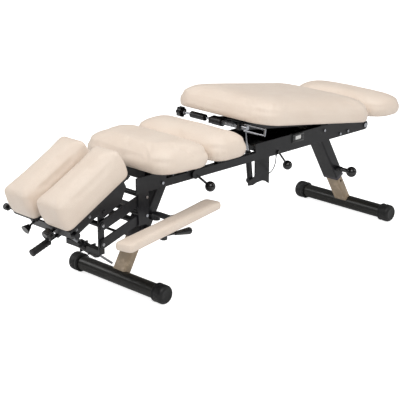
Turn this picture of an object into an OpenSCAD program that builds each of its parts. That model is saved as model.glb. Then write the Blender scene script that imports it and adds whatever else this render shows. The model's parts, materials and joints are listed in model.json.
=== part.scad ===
// Chiropractic table. A beam on two leaning telescopic legs carries a lifting pelvic section,
// a sliding foot section, a dropping thoracic section, a head section on parallel lift arms,
// and two armrests. +X runs from head to foot, +Y away from the near side, +Z up.

/* [Feet and legs] */
// Distance between the two foot tubes
foot_span = 1300; // [1240:10:1340]
// Length of a foot tube, from one end to the other
cap_span = 465; // [440:5:500]
// Outer diameter of a foot tube
foot_tube_d = 57; // [52:1:60]
// Outer diameter of a rubber end cap
cap_d = 72; // [68:1:80]
// Length of a rubber end cap
cap_len = 52; // [48:1:60]
// Depth of the flat worn under each cap
cap_flat = 0.8; // [0.4:0.1:1.2]
// Angle between a leg and the vertical, in degrees
leg_lean = 30; // [29:0.5:31]
// Width of an inner leg tube across the table
inner_w = 66; // [62:1:68]
// Depth of an inner leg tube along the table
inner_d = 33; // [30:1:34]
// Length of an inner leg tube from the foot axis
inner_len = 308; // [302:2:310]
// Width of a leg sleeve across the table
sleeve_w = 80; // [80:1:84]
// Depth of a leg sleeve along the table
sleeve_d = 46; // [46:1:50]
// Distance along the leg from the foot axis to the lower end of the sleeve
sleeve_low = 166; // [162:1:172]
// Wall of the leg tubes
leg_wall = 3; // [2.5:0.5:3]
// Distance along the leg from the foot axis to the pull pin
pin_along = 205; // [203:1:212]
// Distance between the height holes of an inner leg
hole_pitch = 25.4; // [25:0.1:26]
// Diameter of a pull pin
pin_d = 10; // [9:0.5:11]
// Diameter of a pull pin's ball knob
pin_ball_d = 45; // [38:1:46]

/* [Beam] */
// Height of the underside of the beam above the floor
beam_z = 380; // [376:1:386]
// Overall width of the beam
beam_w = 222; // [220:2:230]
// Height of a side rail
rail_h = 30; // [28:1:32]
// Width of a side rail's flanges
rail_t = 25; // [22:1:26]
// Wall of a side rail
rail_wall = 3; // [2.5:0.5:3.5]
// Thickness of the beam's side plates
plate_t = 5; // [4:0.5:5]
// Length of the side plates at the head end
gusset_len = 146; // [136:2:154]
// Height of the side plates above the rails at the head end
gusset_rise = 30; // [26:1:32]
// Height of the side plates above the rails under the pelvic section
side_rise = 36; // [32:1:37]
// Distance from the beam's middle to the head end of the rear side plates, towards the head
side_start = 36; // [24:2:46]

/* [Pelvic section] */
// Angle at which the pelvic section stands raised, in degrees
pelvic_raise = 8.8; // [8.6:0.1:9]
// Distance from the foot axis to the pelvic hinge, towards the head
hinge_inset = 14; // [12:1:16]
// Height of the pelvic hinge above the underside of the beam
hinge_rise = 19; // [18:1:20]
// Radius of the rounded foot end of the beam
hinge_r = 19; // [18:1:20]
// Diameter of the pelvic hinge bolts
hinge_pin_d = 12; // [10:1:13]
// Length of the pelvic cushion
pelvic_len = 685; // [670:1:690]
// Distance from the hinge to the foot end of the pelvic cushion
pelvic_back = 116; // [112:1:120]
// Width of the pelvic cushion
pelvic_w = 534; // [500:2:540]
// Height of the pelvic cushion's underside above the hinge
pelvic_base = 42; // [42:0.5:46]
// Height of the pelvic cushion's side
pelvic_side = 62; // [56:1:66]
// Height of the pelvic cushion's crown above its side
pelvic_crown = 30; // [22:1:32]
// Distance between the outer faces of the pelvic frame's rails
pelvic_frame_w = 164; // [158:1:166]
// Thickness of the boards under the cushions
board_t = 12; // [10:1:12]
// Length of the chrome loop handle
loop_len = 90; // [80:2:100]

/* [Cushions] */
// Width of the lumbar cushion and of the thoracic cushion's foot end
cushion_w = 480; // [460:5:490]
// Width of the thoracic cushion at the head end
thoracic_head_w = 462; // [440:2:476]
// Width of the foot cushion
foot_cushion_w = 494; // [470:2:500]
// Height of a body cushion's side
cushion_side = 66; // [58:1:68]
// Height of a body cushion's crown above its side
cushion_crown = 23; // [16:1:26]
// Radius of a body cushion's corners, seen from above
cushion_corner = 76; // [50:2:90]
// Height of the thoracic and lumbar cushions' undersides above the rails
cushion_rise = 52; // [50:1:54]
// Length of the thoracic cushion
thoracic_len = 258; // [240:2:270]
// Length of the lumbar cushion
lumbar_len = 191; // [180:1:196]
// Distance from the beam's middle to the foot end of the lumbar cushion, towards the head
lumbar_back = 186; // [184:1:200]
// Length of the foot cushion
foot_cushion_len = 196; // [180:2:200]

/* [Head section] */
// Angle by which the head end hangs down, in degrees
head_tilt = 28; // [27:0.5:29]
// Distance between the two ends of a lift arm
arm_len = 212; // [208:1:216]
// Angle by which the lift arms hang down, in degrees
arm_drop = 17; // [16:0.5:18]
// Distance between the upper and lower lift arms' pivots
arm_gap = 70; // [68:1:74]
// Height of a lower lift arm's plate
arm_h = 34; // [32:1:36]
// Distance from the foot axis to the lift arms' pivots, towards the foot
column_in = 46; // [44:1:50]
// Depth of the lower pivots below the underside of the beam
column_drop = 90; // [88:1:92]
// Distance from the upper arm pivot to the tilt pivot
tilt_rise = 53; // [50:1:55]
// Length of a head pad
pad_len = 332; // [322:1:336]
// Width of a head pad
pad_w = 145; // [138:1:148]
// Width of the slot between the head pads
pad_slot = 38; // [34:1:42]
// Height of a head pad's side
pad_side = 94; // [84:1:97]
// Height of a head pad's crown above its side
pad_crown = 21; // [16:1:24]
// Distance from the tilt pivot to the foot end of the head pads
pad_front = 145; // [141:1:146]
// Height of the head pads' undersides above the tilt pivot
pad_base = 77; // [76:0.5:80]
// Length of the release handle's grip
grip_len = 84; // [76:1:90]
// Diameter of the release handle's grip
grip_d = 28; // [24:1:30]

/* [Levers and knobs] */
// Diameter of the lever balls
lever_ball_d = 40; // [34:1:42]
// Diameter of a lever rod
lever_rod_d = 9; // [8:0.5:10]
// Length of the thoracic lever, seen from the side
thoracic_lever_len = 72; // [66:1:80]
// Length of the lift release lever, seen from the side
lift_lever_len = 72; // [66:1:78]
// Diameter of the star knob
star_d = 42; // [36:1:44]

/* [Armrests] */
// Length of an armrest pad
rest_len = 578; // [540:2:584]
// Width of an armrest pad
rest_w = 77; // [70:1:80]
// Height of an armrest pad's side
rest_side = 27; // [22:1:29]
// Height of an armrest pad's crown above its side
rest_crown = 8; // [6:1:10]
// Angle by which the head end of an armrest points outwards, in degrees
rest_yaw = 12.8; // [11:0.2:14]
// Turn of the far armrest on its arm, out from the near one's mirrored pose, in degrees
far_rest_turn = 21.8; // [20:0.1:24]
// Height of an armrest's underside above the floor
rest_z = 284; // [282:1:287]
// Length of an armrest's clamp lever
clamp_len = 136; // [124:1:140]

/* [Hidden] */
$fn = 48;

cushion_color = "#e6d7c8";
frame_color = "#2b2b2d";
tan_color = "#92836f";
rubber_color = "#1c1c1c";
chrome_color = "#c9cbce";
knob_color = "#141414";
foot_color = "#33322c";
plastic_color = "#2a2430";
label_color = "#f0f0ee";

// Clearances and overruns
run_gap = 0.05;
slide_gap = 0.5;
weld_gap = 0.05;
face_gap = 0.5;
cut = 2;

// Extremes of the finished table along X, which centre it on its origin
head_overhang = 402.02;
foot_overhang = 94;
head_reach = foot_span / 2 + head_overhang;
foot_reach = foot_span / 2 + foot_overhang;
frame_shift = (head_reach - foot_reach) / 2;

// Leg values
foot_axis_z = cap_d / 2 - cap_flat;
cap_round = 14;
cap_lip = 4;
cap_seat = 26;
foot_tube_wall = 3;
bushing_len = 30;
bushing_flange = 13;
boss_d = 22;
boss_len = 24;
pin_shank = 34;
pin_reach = boss_len + pin_shank;
pin_tip = 6;
pin_collar_d = 18;
pin_hole_gap = 0.5;
height_holes = 7;
first_hole = pin_along - 3 * hole_pitch;

// Beam values
rail_top = beam_z + rail_h;
beam_y = beam_w / 2;
rail_inner_y = beam_y - rail_t;
rail_start = -foot_span / 2 + 60;
gusset_x = -foot_span / 2 - 6;
hinge_x = foot_span / 2 - hinge_inset;
hinge_z = beam_z + hinge_rise;
side_top = rail_top + side_rise;
side_slope_start = hinge_x - 216;
side_end_z = hinge_z + hinge_r;
leg_cross_len = 100;
leg_cross_h = 20;
leg_cross_x = foot_span / 2 - (beam_z + leg_cross_h / 2 - foot_axis_z) * tan(leg_lean);
guide_x = foot_span / 2 - 90;
guide_len = 40;
guide_h = 16;
guide_boss_w = 124;
guide_boss_h = 26;
pan_start = hinge_x - 494;
pan_end = hinge_x - 244;
pan_t = 3;

// Hanging bracket and gas spring
bracket_x = hinge_x - 577;
bracket_end = hinge_x - 494;
bracket_low = beam_z - 150;
bracket_plate = 5;
bracket_y = 21;
spring_foot_x = hinge_x - 584;
spring_foot_z = beam_z - 124;
spring_pin_d = 10;
spring_head_x = -619;
gas_body_d = 24;
gas_body_low = 14;
gas_body_len = 116;
gas_rod_d = 12;
gas_rod_low = 100;
gas_eye_d = 24;
gas_eye_w = 20;
rod_eye_d = 22;
open_gas_gap = 1.0;
open_lock_gap = 1.4;

// Pelvic values, in the section's own frame with the hinge at its origin
pelvic_rail_t = 12;
pelvic_rail_low = 5;
pelvic_rail_top = 26;
pelvic_head_low = -5;
pelvic_head_top = 19;
pelvic_rail_len = 748;
pelvic_ear_r = 16;
pelvic_rail_in = pelvic_frame_w / 2 - pelvic_rail_t;
tray_len = 585;
tray_w = 210;
tray_hinge_x = -132;
tray_hinge_z = 19;
tray_pin_d = 8;
tray_start = -117;
tension_x = -733;
tension_z = 9;
tension_rod_d = 9;
tension_near = 98;
tension_far = 250;
barrel_d = 27;
barrel_start = 115;
barrel_len = 76;
drum_d = 36;
drum_len = 51;
coil_d = 21;
coil_wire = 2.6;
coil_turns = 13;
loop_rod_d = 8;
loop_h = 24;
loop_hub_d = 18;
loop_hub_len = 24;

// Foot section values
slide_tube_d = 19;
slide_tube_y = 42;
slide_tube_z = beam_z + 12;
slide_tail_x = foot_span / 2 - 150;
foot_cushion_x = foot_span / 2 - 102;
foot_plate_x = foot_span / 2 + 40;
foot_plate_t = 6;
foot_base_z = rail_top + 52;
foot_plate_w = 140;
foot_board_w = 300;
foot_board_in = 14;

// Thoracic and lumbar values
cushion_z = rail_top + cushion_rise;
lumbar_x = -lumbar_back - lumbar_len;
thoracic_x = lumbar_x - 2;
drop_hinge_x = thoracic_x - 12;
drop_hinge_z = cushion_z - board_t - 12;
drop_pin_d = 10;
thoracic_head_x = thoracic_x - 211;
thoracic_rail_y = 82;
thoracic_rail_t = 8;
thoracic_clear = 4;
board_half_w = 98;
lever_x = thoracic_x + 11;
lever_z = beam_z + 18;
lever_hub_d = 36;
lever_hub_t = 10;
lever_fall = 47;
lever_splay = 24;
lever_shaft_d = 10;
lever_shaft_len = 14;
lift_lever_x = hinge_x - 543;
lift_lever_z = beam_z + 9;
lift_lever_fall = 55;
lift_hub_d = 16;
lift_hub_t = 6;
lift_splay = 8;
lift_shaft_d = 8;

// Head values
column_x = -foot_span / 2 + column_in;
column_z = beam_z - column_drop;
column_w = 49;
column_back = 38.5;
column_foot = 32;
column_t = 6;
column_y = beam_y - plate_t - column_t - weld_gap;
arm_t = 7;
arm_y = column_y - arm_t - face_gap;
arm_cap_d = 26;
arm_cap_t = 3;
coupler_y = arm_y - face_gap - column_t;
arm_tube_d = 20;
upper_arm_extra = 4;
tilt_pin_d = 12;
coupler_x = column_x - arm_len * cos(arm_drop);
coupler_z = column_z - arm_len * sin(arm_drop);
tilt_z = coupler_z + arm_gap + tilt_rise;
coupler_w = 26;
coupler_low = coupler_z - 40;
coupler_bar_h = 18;
lock_x = coupler_x + 15;
lock_z = tilt_z - 167;
lock_ear_y = 19.5;
lock_ear_t = 5;
lock_pin_d = 10;
lock_end_pin_d = 8;
head_rail_low = 10;
head_rail_top = 50;
head_rail_tail = -158;
head_rail_nose = 124;
head_rail_t = 5;
head_rail_y = column_y + column_t + face_gap;
lock_end_x = -126;
lock_end_z = -18;
lock_body_len = 96;
lock_body_d = 34;
lock_rod_d = 9;
lock_rod_tail = 138;
lock_lug_y = 11.5;
lock_lug_t = 5;
lock_end = [coupler_x + lock_end_x * cos(head_tilt) - lock_end_z * sin(head_tilt),
            tilt_z + lock_end_x * sin(head_tilt) + lock_end_z * cos(head_tilt)];
lock_span = norm([lock_end.x - lock_x, lock_end.y - lock_z]);
lock_pitch = atan2(lock_end.y - lock_z, lock_x - lock_end.x);
drop_tray_z = 50;
drop_tray_t = 4;
drop_tray_y = 104;
drop_tray_tail = -146;
drop_flange_h = 17.5;
head_drop_x = 114;
head_drop_z = 40;
head_drop_pin_d = 8;
pad_rod_d = 9;
pad_rod_z = 62;
pad_rod_xs = [pad_front - pad_len + 77, pad_front - 75];
pad_board_low = 68.5;
pad_board_in = 8;
pad_lean = 7;
runner_y = 38;
runner_w = 38;
runner_len = 22;
runner_low = 55;
handle_fall = 18.4;
handle_len = 139.5;
handle_rod_d = 9;
fork_y = 6;
fork_t = 4.5;
fork_len = 30;
bell_y = 75;
bell_z = 43;
bell_rod_d = 8;
knob_tail = 8;
dial_y = -28;
dial_z = 37;
dial_d = 41;
dial_len = 27;
dial_pin_d = 12;
width_x = pad_front - pad_len + 22;
width_z = 70.5;
width_pin_d = 8;
width_block = 14;
width_block_low = 64;
width_block_end = 172;
width_start = 204;
width_d = 40;
width_len = 24;

// Armrest values
swing_x = -foot_span / 2 + 130;
swing_y = 66;
rest_pivot_x = -foot_span / 2 - 16;
rest_pivot_y = 262;
rest_out_x = 39;
rest_out_y = -6.4;
swing_t = 7;
swing_w = 36;
swing_step = 13;
swing_knee = 104;
swing_pin_d = 10;
swing_boss_d = 28;
swing_boss_h = 20;
clamp_d = 27;
clamp_root_d = 14;
clamp_rod_d = 9;
clamp_grip = 82;
clamp_hub_d = 26;
clamp_hub_h = 23;
clamp_drop = 9;

// Rounded rectangle from straight parts and circles, centred
module rounded_rect(size, r) {
    square([size.x - 2 * r, size.y], center = true);
    square([size.x, size.y - 2 * r], center = true);
    for (x = [-1, 1], y = [-1, 1])
        translate([x * (size.x / 2 - r), y * (size.y / 2 - r)]) circle(r);
}

// Rectangular tube along Z, from z = 0
module rect_tube(size, wall, length) {
    linear_extrude(length) difference() {
        rounded_rect(size, 2 * wall);
        square([size.x - 2 * wall, size.y - 2 * wall], center = true);
    }
}

// Cylinder along Y that starts at y = from
module rod_y(d, from, length) {
    translate([0, from, 0]) rotate([-90, 0, 0]) cylinder(d = d, h = length);
}

// Cylinder along X that starts at x = from
module rod_x(d, from, length) {
    translate([from, 0, 0]) rotate([0, 90, 0]) cylinder(d = d, h = length);
}

// Flat shape drawn in X and Z, given thickness along Y from y = from
module plate_xz(from, t) {
    translate([0, from + t, 0]) rotate([90, 0, 0]) linear_extrude(t) children();
}

// The same piece on the near and on the far side
module both_sides() {
    children();
    mirror([0, 1, 0]) children();
}

// Straight rod between two points
module rod_between(a, b, d) {
    v = b - a;
    translate(a) rotate([0, acos(v.z / norm(v)), atan2(v.y, v.x)]) cylinder(d = d, h = norm(v));
}

// Bar with two round ends, from the origin along X, with a hole in each or in the far one
module link_outline(length, h, hole_d, holes) {
    difference() {
        union() {
            translate([0, -h / 2]) square([length, h]);
            for (x = [0, length]) translate([x, 0]) circle(d = h);
        }
        for (x = holes) translate([x, 0]) circle(d = hole_d);
    }
}

// Points of a rounded four-sided outline with its own half-width at each end
corner_steps = 9;
function pad_outline(x0, x1, w0, w1, r, inset) =
    let (rr = max(r - inset / 2, inset / 8 + weld_gap),
         corners = [[x1 - inset - rr, w1 - inset - rr, 0], [x0 + inset + rr, w0 - inset - rr, 90],
                    [x0 + inset + rr, -w0 + inset + rr, 2 * 90],
                    [x1 - inset - rr, -w1 + inset + rr, 3 * 90]])
    [for (c = corners, i = [0 : corner_steps])
        let (a = c[2] + 90 * i / corner_steps) [c[0] + rr * cos(a), c[1] + rr * sin(a)]];

// Stuffed pad with a drawn-in side and a crown, lofted over rings of one outline.
// A ring is a share of the side's height, of the crown's height and of the roll.
ring_shares = [[0, 0, 0.42], [0.1, 0, 0.16], [0.3, 0, 0.02], [0.55, 0, 0], [0.8, 0, 0.14],
               [1, 0, 0.5], [1, 0.34, 1], [1, 0.62, 1.8], [1, 0.86, 3], [1, 0.97, 4.6]];
module stuffed_pad(x0, x1, w0, w1, r, side, crown, roll, lean = 0) {
    rings = [for (s = ring_shares)
        [for (p = pad_outline(x0, x1 - lean * (1 - s[0]), w0, w1, r, s[2] * roll))
            [p.x, p.y, s[0] * side + s[1] * crown]]];
    n = len(rings[0]);
    last = len(rings) - 1;
    low = [(x0 + x1) / 2, 0, 0];
    high = [(x0 + x1) / 2, 0, side + crown];
    points = concat([for (ring = rings) each ring], [low, high]);
    sides = [for (k = [0 : last - 1], i = [0 : n - 1])
        let (a = k * n + i, b = k * n + (i + 1) % n) each [[a, a + n, b], [b, a + n, b + n]]];
    floor_faces = [for (i = [0 : n - 1]) [(last + 1) * n, i, (i + 1) % n]];
    top_faces = [for (i = [0 : n - 1])
        [(last + 1) * n + 1, last * n + (i + 1) % n, last * n + i]];
    polyhedron(points, concat(sides, floor_faces, top_faces), convexity = 4);
}

// Coil spring along Y as one unbroken tube
ring_sides = 6;
turn_rings = 8;
function coil_point(i, r, pitch) =
    let (a = 360 * i / turn_rings) [r * cos(a), pitch * i / turn_rings, r * sin(a)];
module coil_y(d, wire, turns, length) {
    r = (d - wire) / 2;
    pitch = (length - wire) / turns;
    count = turns * turn_rings;
    points = [for (i = [0 : count], j = [0 : ring_sides - 1])
        let (a = 360 * i / turn_rings, b = 360 * j / ring_sides)
        coil_point(i, r, pitch) + wire / 2 * (cos(b) * [cos(a), 0, sin(a)] + sin(b) * [0, 1, 0])];
    walls = [for (i = [0 : count - 1], j = [0 : ring_sides - 1])
        let (p = i * ring_sides + j, q = i * ring_sides + (j + 1) % ring_sides)
        each [[p, p + ring_sides, q], [q, p + ring_sides, q + ring_sides]]];
    ends = concat([for (j = [1 : ring_sides - 2]) [0, j, j + 1]],
                  [for (j = [1 : ring_sides - 2])
                      let (e = count * ring_sides) [e, e + j + 1, e + j]]);
    mids = [for (i = [0 : count]) coil_point(i, r, pitch)];
    echo("least gap of the coil to itself", min([for (i = [0 : count - 1],
        k = [i + turn_rings / 2 : 1 : count]) norm(mids[i] - mids[k]) - wire]));
    translate([0, wire / 2, 0]) polyhedron(points, concat(walls, ends), convexity = 6);
}

// Tube swept along a list of points, square to the run at both ends
cable_sides = 8;
function run_at(p, i) = let (v = p[min(i + 1, len(p) - 1)] - p[max(i - 1, 0)]) v / norm(v);
module swept_tube(p, d) {
    side_axis = [0.35, 0.85, 0.4];
    rings = [for (i = [0 : len(p) - 1])
        let (t = run_at(p, i), u0 = cross(t, side_axis), u = u0 / norm(u0), w = cross(t, u))
        for (j = [0 : cable_sides - 1])
            let (a = 360 * j / cable_sides) p[i] + d / 2 * (cos(a) * u + sin(a) * w)];
    last = len(p) - 1;
    walls = [for (i = [0 : last - 1], j = [0 : cable_sides - 1])
        let (a = i * cable_sides + j, b = i * cable_sides + (j + 1) % cable_sides)
        each [[a, a + cable_sides, b], [b, a + cable_sides, b + cable_sides]]];
    ends = concat([for (j = [1 : cable_sides - 2]) [0, j, j + 1]],
                  [for (j = [1 : cable_sides - 2])
                      let (e = last * cable_sides) [e, e + j + 1, e + j]]);
    polyhedron(rings, concat(walls, ends), convexity = 6);
}

// Frames of reference
module placed() { translate([frame_shift, 0, 0]) children(); }
module leg_frame(side) {
    translate([side * foot_span / 2, 0, foot_axis_z]) rotate([0, -side * leg_lean, 0]) children();
}
module pelvic_place() {
    translate([hinge_x, 0, hinge_z]) rotate([0, pelvic_raise, 0]) children();
}
module head_place() {
    translate([coupler_x, 0, tilt_z]) rotate([0, -head_tilt, 0]) children();
}
module arm_place() {
    translate([column_x, 0, column_z]) rotate([0, -arm_drop, 0]) children();
}
module lock_place() {
    translate([lock_x, 0, lock_z]) rotate([0, lock_pitch, 0]) children();
}
gas_top = [hinge_x + spring_head_x * cos(pelvic_raise), hinge_z - spring_head_x * sin(pelvic_raise)];
gas_len = norm([gas_top.x - spring_foot_x, gas_top.y - spring_foot_z]);
gas_lean = atan2(gas_top.x - spring_foot_x, gas_top.y - spring_foot_z);
module gas_place() {
    translate([spring_foot_x, 0, spring_foot_z]) rotate([0, gas_lean, 0]) children();
}

// Legs
swing_low = rest_z - swing_step - swing_t - swing_boss_h;
module leg_sleeve(side) {
    long = inner_len + pin_along;
    color(frame_color) difference() {
        union() {
            leg_frame(side) translate([0, 0, sleeve_low])
                rect_tube([sleeve_d, sleeve_w], leg_wall, long);
            leg_frame(side) translate([0, 0, pin_along])
                rod_y(boss_d, -sleeve_w / 2 - boss_len, boss_len + leg_wall / 2);
            if (side < 0) both_sides() {
                translate([swing_x, swing_y, swing_low])
                    cylinder(d = swing_boss_d, h = swing_boss_h - face_gap);
                translate([swing_x - swing_boss_d / 2, sleeve_w / 2 - leg_wall / 2, swing_low])
                    cube([swing_boss_d, swing_y - sleeve_w / 2, swing_boss_h - face_gap]);
            }
        }
        leg_frame(side) translate([0, 0, pin_along])
            rod_y(pin_d + 2 * run_gap, -sleeve_w / 2 - boss_len - cut, boss_len + leg_wall + 2 * cut);
        translate([-foot_span, -beam_w / 2, beam_z])
            cube([2 * foot_span, beam_w, inner_len + beam_z]);
        both_sides() translate([swing_x, swing_y, swing_low - cut])
            cylinder(d = swing_pin_d + 2 * run_gap, h = swing_boss_h + 2 * cut);
    }
}
module leg_bushings() {
    outer = [sleeve_d - 2 * leg_wall - 2 * weld_gap, sleeve_w - 2 * leg_wall - 2 * weld_gap];
    inner = [inner_d + 2 * slide_gap, inner_w + 2 * slide_gap];
    color(plastic_color) for (side = [-1, 1]) leg_frame(side) difference() {
        union() {
            translate([0, 0, sleeve_low - bushing_flange]) linear_extrude(bushing_flange)
                rounded_rect([sleeve_d, sleeve_w], 2 * leg_wall);
            translate([0, 0, sleeve_low - cut]) linear_extrude(bushing_len + cut)
                square(outer, center = true);
        }
        translate([0, 0, sleeve_low - bushing_flange - cut])
            linear_extrude(bushing_len + bushing_flange + 2 * cut) square(inner, center = true);
    }
}
module inner_leg(side) {
    color(tan_color) leg_frame(side) difference() {
        rect_tube([inner_d, inner_w], leg_wall, inner_len);
        rod_y(foot_tube_d + 2 * weld_gap, -inner_w, 2 * inner_w);
        for (i = [0 : height_holes - 1]) translate([0, 0, first_hole + i * hole_pitch])
            rod_y(pin_d + 2 * pin_hole_gap, -inner_w / 2 - cut, leg_wall + 2 * cut);
    }
}
module foot_tube(side) {
    color(foot_color) translate([side * foot_span / 2, 0, foot_axis_z]) difference() {
        rod_y(foot_tube_d, -cap_span / 2, cap_span);
        rod_y(foot_tube_d - 2 * foot_tube_wall, -cap_span / 2 - cut, cap_span + 2 * cut);
    }
}
module foot_caps(side) {
    r = cap_d / 2;
    bore_r = foot_tube_d / 2 + weld_gap;
    seat = cap_seat + weld_gap;
    start = cap_span / 2 - cap_seat;
    color(rubber_color) difference() {
        translate([side * foot_span / 2, 0, foot_axis_z]) both_sides()
            translate([0, start, 0]) rotate([-90, 0, 0]) rotate_extrude() difference() {
                union() {
                    translate([0, cap_lip]) square([r, cap_len - cap_round - cap_lip]);
                    square([r - cap_lip, cap_len - cap_round]);
                    translate([r - cap_lip, cap_lip]) circle(cap_lip);
                    square([r - cap_round, cap_len]);
                    translate([r - cap_round, cap_len - cap_round]) circle(cap_round);
                }
                translate([-2 * r, -cut]) square([2 * r, cap_len + 2 * cut]);
                translate([-r, -cut]) square([r + bore_r, seat + cut]);
            }
        translate([side * foot_span / 2 - cap_d, -cap_span, -cap_d])
            cube([2 * cap_d, 2 * cap_span, cap_d]);
    }
}
module pull_pin(side) {
    tip = -inner_w / 2 + pin_tip;
    reach = sleeve_w / 2 + pin_reach;
    color(knob_color) leg_frame(side) translate([0, 0, pin_along]) {
        rod_y(pin_d, -reach, reach + tip);
        rod_y(pin_collar_d, -reach, pin_shank - face_gap);
        translate([0, -reach - pin_ball_d / 2 + cut, 0]) sphere(d = pin_ball_d);
    }
}

// Beam with its rails, side plates and cross members
module side_plate_outline() {
    polygon([[-side_start, beam_z], [hinge_x, beam_z], [hinge_x, side_end_z],
             [side_slope_start, side_top], [-side_start, side_top]]);
    translate([hinge_x, hinge_z]) circle(hinge_r);
}
module beam_frame() {
    rail_end = hinge_x - hinge_r;
    cross_y = beam_y - rail_wall / 2;
    color(frame_color) difference() {
        union() {
            both_sides() {
                difference() {
                    translate([rail_start, rail_inner_y, beam_z])
                        cube([rail_end - rail_start, rail_t, rail_h]);
                    translate([rail_start - cut, rail_inner_y - cut, beam_z + rail_wall])
                        cube([rail_end - rail_start + 2 * cut, rail_t + cut - rail_wall,
                              rail_h - 2 * rail_wall]);
                }
                plate_xz(beam_y - plate_t, plate_t) side_plate_outline();
                translate([gusset_x, beam_y - plate_t, beam_z])
                    cube([gusset_len, plate_t, rail_h + gusset_rise]);
            }
            for (s = [-1, 1]) translate([s * leg_cross_x - leg_cross_len / 2, -cross_y, beam_z])
                cube([leg_cross_len, 2 * cross_y, leg_cross_h]);
            translate([bracket_x, -cross_y, beam_z])
                cube([bracket_end - bracket_x, 2 * cross_y, leg_cross_h]);
            translate([pan_start - cut, -cross_y, beam_z])
                cube([pan_end - pan_start + 2 * cut, 2 * cross_y, pan_t]);
            translate([guide_x, -cross_y, beam_z]) cube([guide_len, 2 * cross_y, guide_h]);
            translate([guide_x, -guide_boss_w / 2, beam_z])
                cube([guide_len, guide_boss_w, guide_boss_h]);
        }
        translate([hinge_x, 0, hinge_z]) rod_y(hinge_pin_d + 2 * weld_gap, -beam_w, 2 * beam_w);
        for (y = [-1, 1]) translate([guide_x - cut, y * slide_tube_y, slide_tube_z])
            rod_x(slide_tube_d + 2 * run_gap, 0, guide_len + 2 * cut);
        translate([lever_x, 0, lever_z]) rod_y(lever_shaft_d + 2 * run_gap, -beam_w, beam_w);
        translate([lift_lever_x, 0, lift_lever_z])
            rod_y(lift_shaft_d + 2 * run_gap, -beam_y - cut, rail_t);
    }
}

// Hanging bracket of the gas spring: one plate with a flange and a pivot stud
module lift_bracket() {
    foot_back = 31;
    foot_end = spring_foot_x - foot_back;
    foot_up = spring_foot_z + 7;
    flange_w = 30;
    arch = 10;
    stud_head_d = 18;
    stud_head_t = 4;
    collar_t = bracket_y - bracket_plate - gas_eye_w / 2 - slide_gap;
    color(frame_color) {
        plate_xz(-bracket_y, bracket_plate) polygon([
            [bracket_x, beam_z], [bracket_end, beam_z], [bracket_end, bracket_low],
            [bracket_end - arch, bracket_low + arch / 2],
            [bracket_end - 2 * arch, bracket_low + 1.3 * arch],
            [(bracket_x + bracket_end) / 2, bracket_low + 2 * arch],
            [bracket_x + arch, bracket_low + 1.8 * arch],
            [spring_foot_x - arch / 2, bracket_low + 1.2 * arch],
            [foot_end, bracket_low + 1.5 * arch], [foot_end, foot_up],
            [bracket_x, spring_foot_z + 2 * arch]
        ]);
        translate([bracket_end - bracket_plate, -bracket_y, bracket_low + arch])
            cube([bracket_plate, flange_w, beam_z - bracket_low - arch]);
        translate([spring_foot_x, 0, spring_foot_z]) {
            rod_y(spring_pin_d, -bracket_y, bracket_y + gas_eye_w / 2 + slide_gap + stud_head_t);
            rod_y(stud_head_d, -bracket_y + bracket_plate - cut, collar_t + cut);
            rod_y(stud_head_d, gas_eye_w / 2 + slide_gap, stud_head_t);
        }
    }
}

// Gas spring, upright from its foot pivot
module gas_spring_cylinder() {
    gland_d = 18;
    gland_len = 6;
    color(frame_color) gas_place() difference() {
        union() {
            rod_y(gas_eye_d, -gas_eye_w / 2, gas_eye_w);
            translate([0, 0, gas_body_low - cut])
                cylinder(d = gas_body_d, h = gas_body_len - gland_len + cut);
            translate([0, 0, gas_body_low]) cylinder(d = gland_d, h = gas_body_len);
        }
        rod_y(spring_pin_d + 2 * run_gap, -gas_eye_w, 2 * gas_eye_w);
        translate([0, 0, gas_body_low + cut]) cylinder(d = gas_rod_d + 2 * run_gap, h = gas_body_len);
    }
}
module gas_spring_rod() {
    color(chrome_color) gas_place() difference() {
        union() {
            translate([0, 0, gas_rod_low]) cylinder(d = gas_rod_d, h = gas_len - gas_rod_low);
            translate([0, 0, gas_len]) rod_y(rod_eye_d, -gas_eye_w / 2, gas_eye_w);
        }
        translate([0, 0, gas_len])
            rod_y(spring_pin_d + 2 * open_gas_gap, -gas_eye_w, 2 * gas_eye_w);
    }
}

// Levers on the near rail
lift_ball = [lift_lever_x + lift_lever_len * cos(lift_lever_fall), -beam_y - lift_splay - lift_hub_t,
             lift_lever_z - lift_lever_len * sin(lift_lever_fall)];
thoracic_ball = [lever_x + thoracic_lever_len * cos(lever_fall), -beam_y - lever_hub_t - lever_splay,
                 lever_z - thoracic_lever_len * sin(lever_fall)];
module lift_release_lever() {
    hub_face = beam_y + slide_gap;
    color(knob_color) {
        translate([lift_lever_x, 0, lift_lever_z]) {
            rod_y(lift_hub_d, -hub_face - lift_hub_t, lift_hub_t);
            rod_y(lift_shaft_d, -hub_face - cut, lever_shaft_len);
        }
        rod_between([lift_lever_x, -hub_face - lift_hub_t / 2, lift_lever_z], lift_ball,
                    lever_rod_d - 1);
        translate(lift_ball) sphere(d = lever_ball_d - 2);
    }
}
module thoracic_lever() {
    hub_face = beam_y + slide_gap;
    hub_mid = [lever_x, -hub_face - lever_hub_t / 2, lever_z];
    color(frame_color) {
        translate([lever_x, 0, lever_z]) {
            rod_y(lever_hub_d, -hub_face - lever_hub_t, lever_hub_t);
            rod_y(lever_shaft_d, -hub_face - cut, lever_shaft_len);
        }
        rod_between(hub_mid, thoracic_ball, lever_rod_d);
    }
}
module thoracic_lever_ball() {
    from = [lever_x, -beam_y - slide_gap - lever_hub_t / 2, lever_z];
    v = (thoracic_ball - from) / norm(thoracic_ball - from);
    color(knob_color) difference() {
        translate(thoracic_ball) sphere(d = lever_ball_d);
        rod_between(from, thoracic_ball + weld_gap * v, lever_rod_d + 2 * weld_gap);
    }
}

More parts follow.
